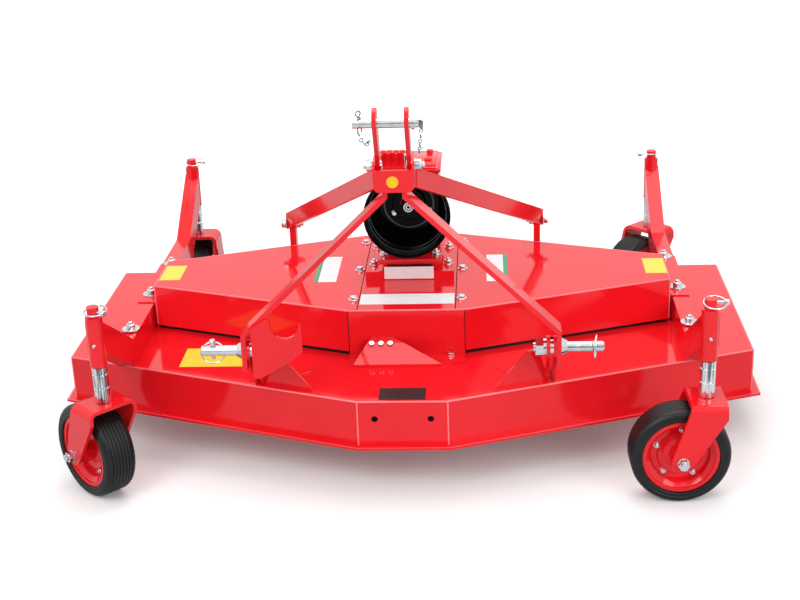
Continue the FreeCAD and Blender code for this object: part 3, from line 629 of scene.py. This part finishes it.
class MOWER_OT_deck_bolts(bpy.types.Operator):
    """Bolts with washers on the arms, the belt cover, its tongue and the gearbox stand"""
    bl_idname = "mower.deck_bolts"
    bl_label = "Deck bolts"

    def execute(self, context):
        arm_low, arm_high = box_mm("caster_arm_front_right")
        arm_x = (arm_low.x + arm_high.x) / 2
        big = hex_bolt("beam_bolt", 19, 9, sizes().beam_washer, 3, 5, 12)
        beam_top = 62.8
        stands = []
        for side in (-1, 1):
            stands += [(place(side * arm_x, 13, beam_top), Z, 0.3),
                       (place(side * arm_x, 236, beam_top), Z, 0.1),
                       (place(side * (arm_x - 7), 452, beam_top), Z, 0.5)]
        fastened("arm_bolts", big, stands)
        removed(big)
        cover = hex_bolt("cover_bolt", 15, 6, 24, 2, 0)
        stands = [(place(side * 124, y, COVER_TOP), Z, y) for side in (-1, 1) for y in (60, 257, 456)]
        fastened("cover_bolts", cover, stands)
        removed(cover)
        tongue = hex_bolt("tongue_bolt", 13, 5.5, 19, 1.6, 0)
        low, high = box_mm("cover_tongue")
        slope = Vector((0, -(high.z - low.z - 4), high.y - low.y)).normalized()
        stands = [(place(x, -24, 32.5), Vector((0, slope.y, slope.z)), x) for x in (-79, -58, -37)]
        stands.append((place(99.5, -20, 3), Z, 0.2))
        fastened("tongue_bolts", tongue, stands)
        removed(tongue)
        foot = hex_bolt("stand_bolt", 17, 7, 23, 2.2, 4, 10)
        foot_top = 116
        shelf_top = 156
        stands = [(place(x, y, foot_top), Z, 0.4) for x in (-91, 89) for y in (278, 396)]
        stands += [(place(x, y, shelf_top), Z, 0.1) for x in (-62, 62) for y in (236, 408)]
        fastened("stand_bolts", foot, stands)
        removed(foot)
        return {"FINISHED"}


class MOWER_OT_linch_pins(bpy.types.Operator):
    """Linch pins with spring rings on the four spindles and on the two hitch pins"""
    bl_idname = "mower.linch_pins"
    bl_label = "Linch pins"

    def linch_pin(self, length, ring, swing=0.0):
        """A pin along Z, its head at the top and its ring swung down round the middle; mm and degrees."""
        pin = turned("pin_rod", [(0, 0), (2.6, 0), (3.9, 2.5), (3.9, length), (6.5, length + 1),
                                 (6.8, length + 3), (6.8, length + 9), (5.4, length + 11),
                                 (0, length + 11)], ORIGIN, Z, 16)
        top = length + 6
        radius = ring / 2
        gap = 18
        steps = 14
        points = []
        for index in range(steps + 1):
            angle = math.radians(90 - gap - (360 - 2 * gap) * index / steps)
            drop = radius - radius * math.sin(angle)
            points.append(Vector((radius * math.cos(angle) * 1.03, drop * math.sin(math.radians(swing)),
                                  top - drop * math.cos(math.radians(swing)))) / 1000)
        points = [Vector((0.004, 0, top / 1000))] + points + [Vector((-0.004, 0, top / 1000))]
        hoop = wire("pin_hoop", points, 3.4)
        return joined("linch_pin", [pin, hoop])

    def execute(self, context):
        # How far round each pin points, how far it is turned in its hole, how far its ring is swung up.
        turns = {"front_left": (-35, 97, 3), "front_right": (3, 103, 0), "rear_left": (8, 100, 0),
                 "rear_right": (184, 100, 0)}
        length = 34
        spindle_ring = 47
        hitch_ring = 50
        below_top = 0.009
        head_back = 0.008
        for corner in CORNERS:
            high = box_mm("fork_" + corner)[1]
            at = joint_line("swivel_" + corner)[0]
            hole = Vector((at.x, at.y, high.z / 1000 - below_top))
            heading, roll, swing = turns[corner]
            way = Matrix.Rotation(math.radians(heading), 3, "Z") @ X
            stand = (Matrix.Translation(hole - way * head_back) @ rotation(heading, "Z") @ rotation(90, "Y")
                     @ rotation(roll, "Z"))
            made = self.linch_pin(length, spindle_ring, swing)
            settled(copied(made, "linch_pin_" + corner, stand), "caster_" + corner, "zinc")
            removed(made)
        pin = self.linch_pin(length, hitch_ring)
        left_low, left_high = box_mm("hitch_pin_left")
        right_high = box_mm("hitch_pin_right")[1]
        y = (left_low.y + left_high.y) / 2000
        z = (left_low.z + left_high.z) / 2000
        left = Matrix.Translation((left_low.x / 1000 + 0.025, y, z - 0.02)) @ rotation(8, "Z")
        settled(copied(pin, "linch_pin_hitch_left", left), "frame", "zinc")
        right = (Matrix.Translation((right_high.x / 1000 - 0.018, y, z)) @ rotation(52, "X")
                 @ rotation(-6, "Y") @ Matrix.Translation((0, 0, -0.02)) @ rotation(82, "Z"))
        settled(copied(pin, "linch_pin_hitch_right", right), "frame", "zinc")
        removed(pin)
        return {"FINISHED"}


class MOWER_OT_link_pin_trim(bpy.types.Operator):
    """Spring clip, chain and pull tab on the top link's pin"""
    bl_idname = "mower.link_pin_trim"
    bl_label = "Link pin trim"

    def link(self):
        """One chain link standing in the XZ plane, 14 mm long."""
        fresh()
        bpy.ops.mesh.primitive_torus_add(major_radius=0.0036, minor_radius=0.0011, major_segments=14,
                                         minor_segments=6, rotation=(math.radians(90), 0, 0))
        ring = bpy.context.object
        bpy.ops.object.transform_apply(rotation=True)
        for vertex in ring.data.vertices:
            vertex.select = vertex.co.z > 0.0001
        bpy.ops.object.mode_set(mode="EDIT")
        bpy.ops.transform.translate(value=(0, 0, 0.006))
        bpy.ops.object.mode_set(mode="OBJECT")
        smooth(ring, 60)
        return ring

    def chain(self, name, points):
        """Links along places, each turned a quarter against the one before."""
        link = self.link()
        stands = []
        for index, (before, after) in enumerate(zip(points, points[1:])):
            stands.append((before, (after - before).normalized(), math.radians(90 * index)))
        chain = set_of(name, link, stands)
        removed(link)
        return chain

    def hanging(self, start, end, sag, pitch=9.6):
        """Places a link apart along a hanging line."""
        length = (end - start).length + sag * 1.6
        count = max(int(length * 1000 / pitch), 3)
        points = []
        for index in range(count + 1):
            t = index / count
            low = start.lerp(end, t)
            low.z -= sag * 4 * t * (1 - t)
            points.append(low)
        return points

    def pivot_bolts(self):
        """Bolts through the mast head's sides: flat head inside the lug, washer, nut and thread outside."""
        at = joint_line("top_link_swing")[0]
        high = box_mm("mast_head")[1]
        inner = box_mm("link_lug_right")[0]
        nut = hex_bolt("pivot_nut", 22, 11, 27, 2, 5, 14)
        parts = []
        for side in (-1, 1):
            seat = Matrix.Translation((side * (high.x + 0.05) / 1000, at.y, at.z))
            parts.append(copied(nut, "pivot_nut", seat @ rotation(90 * side, "Y")))
            head_at = Vector((side * (inner.x - 0.5) / 1000, at.y, at.z))
            parts.append(turned("pivot_head", [(0, -2.8), (7, -2.8), (10, -1.6), (10.6, 0), (7.5, 0),
                                               (7.5, 16), (0, 16)], head_at, X * side, 32))
        removed(nut)
        bolts = settled(joined("pivot_bolts", parts), "frame", "zinc")
        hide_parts("lug_bolts")

    def execute(self, context):
        low, high = box_mm("link_pin")
        y = (low.y + high.y) / 2000
        z = (low.z + high.z) / 2000
        left = Vector((low.x / 1000, y, z))
        right = Vector((high.x / 1000, y, z))
        # An R clip through the pin's end, with its round back standing up and forward.
        shape = [(0, -20), (0, -6), (0, 6), (1, 12), (6, 15), (10, 20), (6, 26), (-1, 26), (-5, 20),
                 (-1, 15), (6, 12), (12.5, 6), (13.5, 0), (12.5, -6), (9, -12), (12, -18)]
        clip = wire("link_pin_clip", [Vector((left.x + 0.011 + a * 0.0006, left.y + a * 0.0008 - 0.003,
                                              left.z + b / 1000)) for a, b in shape], 2.8)
        chain = self.chain("clip_chain", self.hanging(left + Vector((0.012, -0.014, -0.012)),
                                                      left + Vector((0.030, -0.006, -0.036)), 0.012))
        settled(joined("link_pin_clip", [clip, chain]), "top_link", "steel")
        head = turned("pin_head", [(0, 0), (13.2, 0), (13.2, 5), (12, 6), (9.6, 6.4), (9.6, 13),
                                   (8.2, 14.5), (0, 14.5)], right - X * 0.006, X, 24)
        outline = ((0.008, 0.007), (0.0175, 0.004), (0.0165, -0.0135), (0.009, -0.010))
        corners = [right + Vector((across, -0.003, above)) for across, above in outline]
        tab = sheet("pin_tab", corners, Vector((0, 0.003, 0)), 0.8)
        drop = self.chain("pin_chain", self.hanging(right + Vector((0.013, -0.004, -0.010)),
                                                    right + Vector((0.007, 0.016, -0.062)), 0.006))
        settled(head, "top_link", "zinc")
        settled(joined("link_pin_tab", [tab, drop]), "top_link", "steel")
        self.pivot_bolts()
        return {"FINISHED"}


class MOWER_OT_blank_plates(bpy.types.Operator):
    """Blank name plate, labels and bars where the mower carries its signs"""
    bl_idname = "mower.blank_plates"
    bl_label = "Blank plates"

    def film(self, name, corners, up, finish_name, thickness=0.35, edge=0.0):
        """A thin film over corner places, proud of the metal by its thickness in millimetres."""
        piece = sheet(name, corners, up * thickness / 1000, edge, 1)
        return settled(piece, "frame", finish_name)

    def flat(self, left, front, right, back, height):
        """Corners of a level rectangle, a hair above some height over the deck."""
        corners = ((left, front), (right, front), (right, back), (left, back))
        return [place(x, y, height + 0.05) for x, y in corners]

    def execute(self, context):
        self.film("name_plate", self.flat(-51, -247, 49, -189, 0), Z, "plate", 0.9, 0.3)
        # Name, left, front, right, back, height above the deck, finish
        films = (("cover_band", -108, 28, 108, 92, COVER_TOP, "white"),
                 ("deck_label", -515, -63, -370, 41, 0, "yellow"),
                 ("cover_label_left", -606, 205, -556, 305, COVER_TOP, "yellow"),
                 ("cover_label_right", 558, 207, 608, 310, COVER_TOP, "yellow"),
                 ("guide_left", -220, 177, -175, 353, COVER_TOP, "white"),
                 ("guide_bar_left", -229, 177, -219, 353, COVER_TOP, "green"),
                 ("guide_right", 182, 168, 222, 353, COVER_TOP, "white"),
                 ("guide_bar_right", 222, 168, 232, 353, COVER_TOP, "green"))
        for name, left, front, right, back, height, finish_name in films:
            self.film(name, self.flat(left, front, right, back, height), Z, finish_name)
        stand_y = (box_mm("gearbox_stand")[0].y - CORNER_Y) - 0.05
        corners = [place(x, stand_y, z) for x, z in ((-60, 112), (57, 112), (57, 142), (-60, 142))]
        self.film("stand_plate", corners, -Y, "white", 0.8, 0.2)
        head_y = (box_mm("mast_head")[0].y - CORNER_Y) - 0.05
        radius = 12
        angles = [math.radians(degrees) for degrees in range(0, 360, 10)]
        disc = [place(-2 + radius * math.cos(a), head_y, 488 + radius * math.sin(a)) for a in angles]
        self.film("head_disc", disc, -Y, "amber", 0.5)
        return {"FINISHED"}


class MOWER_OT_weld_beads(bpy.types.Operator):
    """Painted weld beads where plates and tubes meet"""
    bl_idname = "mower.weld_beads"
    bl_label = "Weld beads"

    def bead(self, name, points, wider=0.0):
        """A weld bead along places, some millimetres wider than the property says."""
        return wire(name, points, sizes().bead + wider, sides=1)

    def ring(self, centre, radius):
        """Twelve places round a tube; radius in millimetres."""
        return [centre + Vector((math.cos(a), math.sin(a), 0)) * radius / 1000
                for a in (math.radians(30 * index) for index in range(12))]

    def execute(self, context):
        tube_foot = 101.5
        tube_radius = 17.8
        seam = 0.5
        stay_top = 465.2
        beads = []
        for corner in CORNERS:
            at = joint_line("swivel_" + corner)[0]
            seat = Vector((at.x, at.y, (DECK_TOP + tube_foot) / 1000))
            beads.append(wire("tube_bead", self.ring(seat, tube_radius), 3.0, closed=True, sides=1))
        for side in (-1, 1):
            ear = [place(side * 303, y, seam) for y in (-170, -155, -140, -124)]
            foot = ((290, -172), (265, -150), (230, -115), (198, -84))
            gusset = [place(side * x, y, seam) for x, y in foot]
            stay = [place(side * x, -246, stay_top) for x in (13, 20, 27)]
            beads += [self.bead("ear_bead", ear), self.bead("gusset_bead", gusset, 1),
                      self.bead("stay_bead", stay)]
        settled(joined("weld_beads", beads), "frame", "enamel")
        return {"FINISHED"}


class MOWER_OT_spacers(bpy.types.Operator):
    """Turned zinc height spacers with chamfered ends on the four spindles"""
    bl_idname = "mower.spacers"
    bl_label = "Height spacers"

    def execute(self, context):
        heights = (35.0, 30.6, 17.6)
        wall = 3.5
        gap = 0.1
        chamfer = 1.8
        for corner in CORNERS:
            low, high = box_mm("spacers_" + corner)
            at = joint_line("swivel_" + corner)[0]
            radius = (high.x - low.x) / 2
            bore = radius - wall
            rings = []
            start = low.z
            for height in heights:
                end = start + height
                foot = start + gap
                head = end - gap
                profile = [(bore, foot), (radius - chamfer, foot), (radius, start + chamfer),
                           (radius, end - chamfer), (radius - chamfer, head), (bore, head), (bore, foot)]
                rings.append(turned("spacer", profile, Vector((at.x, at.y, 0)), Z, 40))
                start = end
            spacers = joined("height_spacers_" + corner, rings)
            settled(spacers, "caster_" + corner, "tube")
            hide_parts("spacers_" + corner)
        return {"FINISHED"}


class MOWER_OT_folded_edges(bpy.types.Operator):
    """Rounded folds and hems along the deck and the belt cover in a lighter pink enamel: a painted highlight
    where the edges catch the light
    """
    bl_idname = "mower.folded_edges"
    bl_label = "Folded edges"

    def fold(self, points, diameter=4.2):
        """A rounded fold that stands a hair proud of a plate's edge; points as (across, behind, above)."""
        return wire("fold", [place(*point) for point in points], diameter, sides=3, straight=True)

    def deck_line(self, out, height):
        """The deck's outline from the left round the nose to the right, moved out by some millimetres."""
        half, nose = DECK_HIGH.x, 97.0
        length = math.hypot(half - nose, NOSE_REACH)
        across, ahead = NOSE_REACH / length, (half - nose) / length
        away = across * half + out
        corner_y = -(away - across * (half + out)) / ahead
        nose_x = (away - ahead * (NOSE_REACH + out)) / across
        right = [(nose_x, -NOSE_REACH - out, height), (half + out, corner_y, height),
                 (half + out, 558, height)]
        return [(-x, y, z) for x, y, z in reversed(right)] + right

    def execute(self, context):
        depth = 1.4
        brim = self.deck_line(-depth, -depth)
        foot = self.deck_line(18.0 - 2.8, -104.5)
        deck = [self.fold(brim), self.fold(foot, 5.6)]
        for x, y, z in brim[1:5]:
            deck.append(self.fold([(x, y, z), (x, y, -102)]))
        # The deck's folds wear the pink painted highlight.
        settled(joined("deck_folds", deck), "frame", "edge")
        end = box_mm("belt_cover_right")[1].x
        top = COVER_TOP - depth
        cover = []
        front_y, end_front_y, end_rear_y, rear_y = -6.6, 169, 337, 518.6
        for side in (-1, 1):
            x = side * (end - depth)
            cover.append(self.fold([(side * 113, rear_y, top), (x, end_rear_y, top), (x, end_front_y, top),
                                    (side * 132, front_y, top)]))
            for y in (end_front_y, end_rear_y):
                cover.append(self.fold([(x, y, top), (x, y, 12)]))
        cover.append(self.fold([(-131, front_y, top), (131, front_y, top)]))
        cover.append(self.fold([(-108, rear_y, top), (108, rear_y, top)]))
        # The cover's folds wear the pink painted highlight.
        settled(joined("cover_folds", cover), "frame", "edge")
        # Dark rubber strips stand in the seams of the centre section and behind the slots below the fronts:
        # painted shade, so that the seams and slots read as dark gaps.
        seams = [self.fold([(side * 131.7, -7.2, 106), (side * 131.7, -7.2, 11)], 2.6) for side in (-1, 1)]
        for side in (-1, 1):
            front = [(side * 136, 1.0), (side * (end - 6), 176.0)]
            back = [(x, y + 2.0) for x, y in reversed(front)]
            seams.append(sheet("slot_shade_strip", [place(x, y, 0.3) for x, y in front + back], Z * 0.0135))
        settled(joined("cover_shade_strips", seams), "frame", "rubber")
        return {"FINISHED"}


class MOWER_OT_gearbox_trim(bpy.types.Operator):
    """Cooling ribs, split flange, lid, level plug, scallops, cover bolts and studs of the gearbox, and the
    bolts of its housings
    """
    bl_idname = "mower.gearbox_trim"
    bl_label = "Gearbox trim"

    def rib(self, x, thickness, low, high, front_y):
        """An upright cooling rib with a round top."""
        points = [(front_y + 12, low), (front_y, low), (front_y, high - 9), (front_y + 3, high - 3),
                  (front_y + 9, high), (front_y + 30, high + 1)]
        points.append((front_y + 30, low))
        corners = [place(x - thickness / 2, y, z) for y, z in points]
        return sheet("cooling_rib", corners, X * thickness / 1000, 1.2)

    def execute(self, context):
        low, high = box_mm("gearbox")
        half = (high.x - low.x) / 2
        front = 264.0
        back = high.y - CORNER_Y
        top = high.z - DECK_TOP - 30
        parts = [self.rib(x, 4, top - 60, top - 2, front - 4) for x in (-52, -36, 36, 52)]
        edge = half + 5
        flange = [(-edge, front - 4), (edge, front - 4), (edge, back - 1), (-edge, back - 1)]
        parts.append(sheet("split_flange", [place(x, y, top - 12) for x, y in flange], Z * 0.009, 2.5))
        lid = [(8, front + 14), (66, front + 14), (66, back - 10), (8, back - 10)]
        parts.append(sheet("gearbox_lid", [place(x, y, top - 1) for x, y in lid], Z * 0.0035, 1.0))
        parts.append(turned("level_plug", [(0, 0), (9.5, 0), (9.5, 4), (8, 6), (5, 6), (4.4, 4.6), (0, 4.6)],
                            place(46, 322, top + 2), Z, 24))
        crown = high.z - DECK_TOP
        for x in (-60, -45, -29, -14):
            parts.append(turned("cover_scallop", [(0, -4), (7.5, -4), (7.5, 0), (5.6, 2.8), (0, 3.6)],
                                place(x, front + 40, crown), Z, 20))
        settled(joined("gearbox_casting", parts), "frame", "enamel")
        bolt = hex_bolt("gearbox_bolt", 13, 5.5, 16, 1.5, 0)
        stands = [(place(x, front, z), -Y, z) for x in (-58, 58) for z in (190, 320)]
        fastened("gearbox_bolts", bolt, stands)
        stud = turned("cover_stud", [(0, 0), (4.5, 0), (4.5, 31), (3.2, 33), (0, 33)],
                      ORIGIN, Z, 16)
        studs = [(place(x, front + 20, top - 4), Z, 0) for x in (-67, -6)]
        fastened("cover_studs", stud, studs)
        removed(stud)
        under = []
        for x, y in ((-500, 290), (0, 50), (500, 290)):
            for index in range(4):
                angle = math.radians(45 + 90 * index)
                under.append((place(x + 38 * math.cos(angle), y + 38 * math.sin(angle), -14), -Z, angle))
        fastened("housing_bolts", bolt, under)
        removed(bolt)
        return {"FINISHED"}


class MOWER_OT_shaft_trim(bpy.types.Operator):
    """Turned end of the input shaft, the guard's rolled rim and ridges, and its screw"""
    bl_idname = "mower.shaft_trim"
    bl_label = "Shaft and guard trim"

    def execute(self, context):
        low, high = box_mm("pto_shaft")
        end = Vector(((low.x + high.x) / 2000, low.y / 1000, (low.z + high.z) / 2000))
        face = turned("shaft_end", [(0, 2), (3.0, 2), (3.6, -0.4), (6.4, -0.4), (6.8, 0.6), (8.2, 0.6),
                                    (8.6, -0.8), (11.4, -0.8), (12.0, 0.6), (12.0, 3), (0, 3)], end, Y, 36)
        settled(face, "input_shaft", "zinc")
        guard_low, guard_high = box_mm("pto_shield")
        radius = (guard_high.z - guard_low.z) / 2
        at = Vector((0, guard_low.y / 1000, (guard_low.z + guard_high.z) / 2000))
        section = [(radius - 4.5, 1), (radius - 3.5, -1.5), (radius - 1.5, -2), (radius, -0.5), (radius, 3),
                   (radius - 4, 4), (radius - 4.5, 1)]
        rim = turned("guard_rim", section, at, Y, 96)
        ridges = []
        for depth, inner in ((22, radius - 9), (44, radius - 10.5), (103.6, radius - 43)):
            section = [(inner - 2.2, depth), (inner - 1.6, depth - 1.8), (inner + 2.5, depth - 2.4),
                       (inner + 2.5, depth + 2.4), (inner - 1.6, depth + 1.8), (inner - 2.2, depth)]
            ridges.append(turned("guard_ridge", section, at, Y, 96))
        cap = turned("seal_cap", [(19.5, 97), (38, 97), (40, 99), (40, 104.5), (36.4, 104.5), (36.4, 99.6),
                                  (19.5, 99.6), (19.5, 97)], at, Y, 64)
        settled(joined("guard_rim", [rim, cap]), "frame", "plastic")
        settled(joined("guard_ridges", ridges), "frame", "ridge")
        screw = hex_bolt("guard_screw", 10, 4, 15, 1.2, 0)
        stands = [(place(x, 250, z), -Y, z) for x, z in ((-35, 256), (48, 262), (20, 332))]
        fastened("guard_screws", screw, stands)
        removed(screw)
        return {"FINISHED"}


class MOWER_OT_small_fittings(bpy.types.Operator):
    """Grease nipples on the arm tubes, black discs in the nose holes as painted shade, and bolts through the
    ends of the rear stays
    """
    bl_idname = "mower.small_fittings"
    bl_label = "Small fittings"

    def nipple(self):
        """A grease nipple, upright at the origin."""
        return turned("nipple", [(0, -2), (3.4, -2), (3.4, 1.6), (2.6, 2.6), (1.9, 3.2), (1.9, 4.6),
                                 (2.9, 6.0), (2.9, 7.4), (1.6, 9.2), (0, 9.2)], ORIGIN, Z, 16)

    def execute(self, context):
        # Black discs sit in the nose holes: painted shade that stands in for the dark inside the holes.
        section = [(0, 0), (6.9, 0), (6.9, 2), (0, 2)]
        plugs = [turned("nose_hole_shade_disc", section, place(x, 1.6 - NOSE_REACH, -41), Y, 24) for x in (-60, 60)]
        settled(joined("nose_hole_shade_discs", plugs), "frame", "plastic")
        nipple = self.nipple()
        nipple_height = 152
        tube_radius = 18
        stands = []
        for corner in CORNERS:
            at = joint_line("swivel_" + corner)[0]
            way = -Y if "front" in corner else Y
            middle = Vector((at.x, at.y, (DECK_TOP + nipple_height) / 1000))
            stands.append((middle + way * tube_radius / 1000, way, 0))
        fastened("grease_nipples", nipple, stands)
        removed(nipple)
        low, high = box_mm("rear_posts")
        bolt = hex_bolt("stay_bolt", 19, 8, 24, 2.2, 0)
        nut = hex_bolt("stay_nut", 19, 9, 24, 2.2, 6)
        heads, nuts = [], []
        y = (low.y + high.y) / 2 - CORNER_Y
        for side in (-1, 1):
            heads.append((place(side * 326.2, y - 14, 166), X * side, 0.3))
            nuts.append((place(side * 302, y, 160), -X * side, 0.1))
        fastened("stay_bolts", bolt, heads)
        fastened("stay_nuts", nut, nuts)
        removed(bolt)
        removed(nut)
        return {"FINISHED"}


class MOWER_OT_stage(bpy.types.Operator):
    """A pale floor, a plain backdrop, soft lamps and the camera"""
    bl_idname = "mower.stage"
    bl_label = "Studio"

    def execute(self, context):
        self.floor()
        self.world()
        self.lamps()
        self.camera()
        return {"FINISHED"}

    def floor(self):
        fresh()
        bpy.ops.mesh.primitive_plane_add(size=60, location=(0, 0, 0))
        floor = bpy.context.object
        floor.name = "studio_floor"
        material, tree, output = blank("Matt white studio paper")
        # Seen directly the paper is white and glows further out; what falls on the mower from it is greyer.
        seen = add(tree, "ShaderNodeBsdfDiffuse", {"Color": linear("#F6F6F6")})
        cast = add(tree, "ShaderNodeBsdfDiffuse", {"Color": linear("#BCBCBC")})
        where = add(tree, "ShaderNodeTexCoord")
        far = add(tree, "ShaderNodeVectorMath", {"operation": "LENGTH"}, {0: (where, "Object")})
        glow = ranged(tree, (far, "Value"), 0.9, 3.2, 0.06, 0.6)
        light = add(tree, "ShaderNodeEmission", {"Color": (1, 1, 1, 1)}, {"Strength": (glow, "Result")})
        lit = add(tree, "ShaderNodeAddShader", {}, {0: (seen, "BSDF"), 1: (light, "Emission")})
        rays = add(tree, "ShaderNodeLightPath")
        mirrored = add(tree, "ShaderNodeBsdfDiffuse", {"Color": linear("#C6C8CA")})
        thrown = add(tree, "ShaderNodeMixShader", {}, {"Fac": (rays, "Is Glossy Ray"), 1: (cast, "BSDF"),
                                                       2: (mirrored, "BSDF")})
        mix = add(tree, "ShaderNodeMixShader", {}, {"Fac": (rays, "Is Camera Ray"), 1: (thrown, "Shader"),
                                                    2: (lit, "Shader")})
        # The paper is there from above only, so that the mower can be looked at from below.
        side = add(tree, "ShaderNodeNewGeometry")
        gone = add(tree, "ShaderNodeBsdfTransparent")
        paper = add(tree, "ShaderNodeMixShader", {}, {"Fac": (side, "Backfacing"), 1: (mix, "Shader"),
                                                      2: (gone, "BSDF")})
        tree.links.new(paper.outputs["Shader"], output.inputs["Surface"])
        floor.data.materials.append(material)

    def world(self):
        world = bpy.data.worlds.new("Studio")
        bpy.context.scene.world = world
        world.use_nodes = True
        tree = world.node_tree
        tree.nodes.clear()
        output = add(tree, "ShaderNodeOutputWorld")
        # A white room that is dimmer low down at its front; its light is softer than its look.
        where = add(tree, "ShaderNodeTexCoord")
        split = add(tree, "ShaderNodeSeparateXYZ", {}, {"Vector": (where, "Generated")})
        room = ranged(tree, (split, "Y"), -0.75, 0.1, 0.3, 1.0)
        above = ranged(tree, (split, "Z"), 0.25, 0.55, 0.04, 1.0)
        # Dark upright panels low in front of the mower draw streaks down its polished round parts.
        spot = ranged(tree, (split, "X"), -1.0, 1.0, 0.0, 1.0)
        panels = add(tree, "ShaderNodeValToRGB", {}, {"Fac": (spot, "Result")})
        stops = panels.color_ramp.elements
        # Position from left to right, and brightness
        steps = ((0.0, 1.6), (0.2, 1.6), (0.23, 0.1), (0.3, 0.1), (0.33, 2.2), (0.46, 2.2), (0.49, 0.3),
                 (0.57, 0.3), (0.6, 2.2), (0.74, 2.2), (0.77, 0.1), (0.84, 0.1), (0.87, 1.6), (1.0, 1.6))
        while len(stops) < len(steps):
            stops.new(0.5)
        for stop, (position, value) in zip(stops, steps):
            stop.position = position
            stop.color = (value, value, value, 1)
        front = ranged(tree, (split, "Y"), -0.3, 0.0, 0.0, 1.0)
        striped = add(tree, "ShaderNodeMix", {3: 1.0}, {"Factor": (front, "Result"), 2: (panels, "Color")})
        low = add(tree, "ShaderNodeMath", {"operation": "MULTIPLY"},
                  {0: (room, "Result"), 1: (striped, "Result")})
        bright = add(tree, "ShaderNodeMath", {"operation": "MAXIMUM"},
                     {0: (low, "Value"), 1: (above, "Result")})
        rays = add(tree, "ShaderNodeLightPath")
        polished = add(tree, "ShaderNodeMix", {2: 0.85},
                       {"Factor": (rays, "Is Glossy Ray"), 3: (bright, "Value")})
        strength = add(tree, "ShaderNodeMath", {"operation": "MAXIMUM"},
                       {0: (rays, "Is Camera Ray"), 1: (polished, 0)})
        sky = add(tree, "ShaderNodeBackground", {"Color": (1, 1, 1, 1)}, {"Strength": (strength, 0)})
        tree.links.new(sky.outputs["Background"], output.inputs["Surface"])

    def lamps(self):
        aim = place(0, 100, 0)
        key = sizes().key_light
        # Name, place and width in metres, power
        lamps = (("Key softbox", (-1.8, -3.4, 3.4), 2.4, key),
                 ("Fill softbox", (2.6, -3.2, 2.0), 2.2, key * 0.6),
                 ("Top softbox", (0.2, 0.8, 3.6), 3.0, key * 0.7))
        for name, at, size, power in lamps:
            fresh()
            bpy.ops.object.light_add(type="AREA", location=at)
            lamp = bpy.context.object
            lamp.name = name
            lamp.data.shape = "DISK"
            lamp.data.size = size
            lamp.data.energy = power
            lamp.rotation_euler = (aim - Vector(at)).to_track_quat("-Z", "Y").to_euler()

    def camera(self):
        fresh()
        bpy.ops.object.camera_add()
        camera = bpy.context.object
        camera.name = "Camera"
        camera.data.sensor_width = 36
        camera.data.lens = 65.5
        yaw, pitch, roll = (math.radians(angle) for angle in (3.74, 21.30, -2.12))
        ahead = Vector((-math.sin(yaw) * math.cos(pitch), math.cos(yaw) * math.cos(pitch),
                        -math.sin(pitch)))
        level = Vector((math.cos(yaw), math.sin(yaw), 0))
        over = level.cross(ahead)
        right = math.cos(roll) * level + math.sin(roll) * over
        top = math.cos(roll) * over - math.sin(roll) * level
        turn = Matrix((right, top, -ahead)).transposed()
        stand = place(186, -3044, 1320.4)
        camera.matrix_world = Matrix.Translation(stand) @ turn.to_4x4()
        bpy.context.scene.camera = camera
        bpy.context.scene.view_settings.view_transform = "Standard"


PIECES = [MOWER_OT_frame_finishes, MOWER_OT_tyres, MOWER_OT_wheel_bolts, MOWER_OT_deck_bolts,
          MOWER_OT_linch_pins, MOWER_OT_link_pin_trim, MOWER_OT_blank_plates, MOWER_OT_weld_beads,
          MOWER_OT_spacers, MOWER_OT_folded_edges, MOWER_OT_gearbox_trim, MOWER_OT_shaft_trim,
          MOWER_OT_small_fittings, MOWER_OT_stage]


class MOWER_PT_panel(bpy.types.Panel):
    """Lists the mower's pieces, sizes and colours"""
    bl_idname = "MOWER_PT_panel"
    bl_label = "Finishing mower"
    bl_space_type = "VIEW_3D"
    bl_region_type = "UI"
    bl_category = "Mower"

    def draw(self, context):
        for group in (context.scene.mower_sizes, context.scene.mower_colours):
            for name in group.bl_rna.properties.keys():
                if name not in ("rna_type", "name"):
                    self.layout.prop(group, name)
        for piece in PIECES:
            self.layout.operator(piece.bl_idname)


CLASSES = [MowerColours, MowerSizes, *PIECES, MOWER_PT_panel]


def register():
    for made in CLASSES:
        bpy.utils.register_class(made)
    bpy.types.Scene.mower_colours = bpy.props.PointerProperty(type=MowerColours)
    bpy.types.Scene.mower_sizes = bpy.props.PointerProperty(type=MowerSizes)


def unregister():
    del bpy.types.Scene.mower_sizes
    del bpy.types.Scene.mower_colours
    for made in reversed(CLASSES):
        bpy.utils.unregister_class(made)


def main():
    register()
    for piece in PIECES:
        group, name = piece.bl_idname.split(".")
        getattr(getattr(bpy.ops, group), name)()


if __name__ == "__main__":
    main()
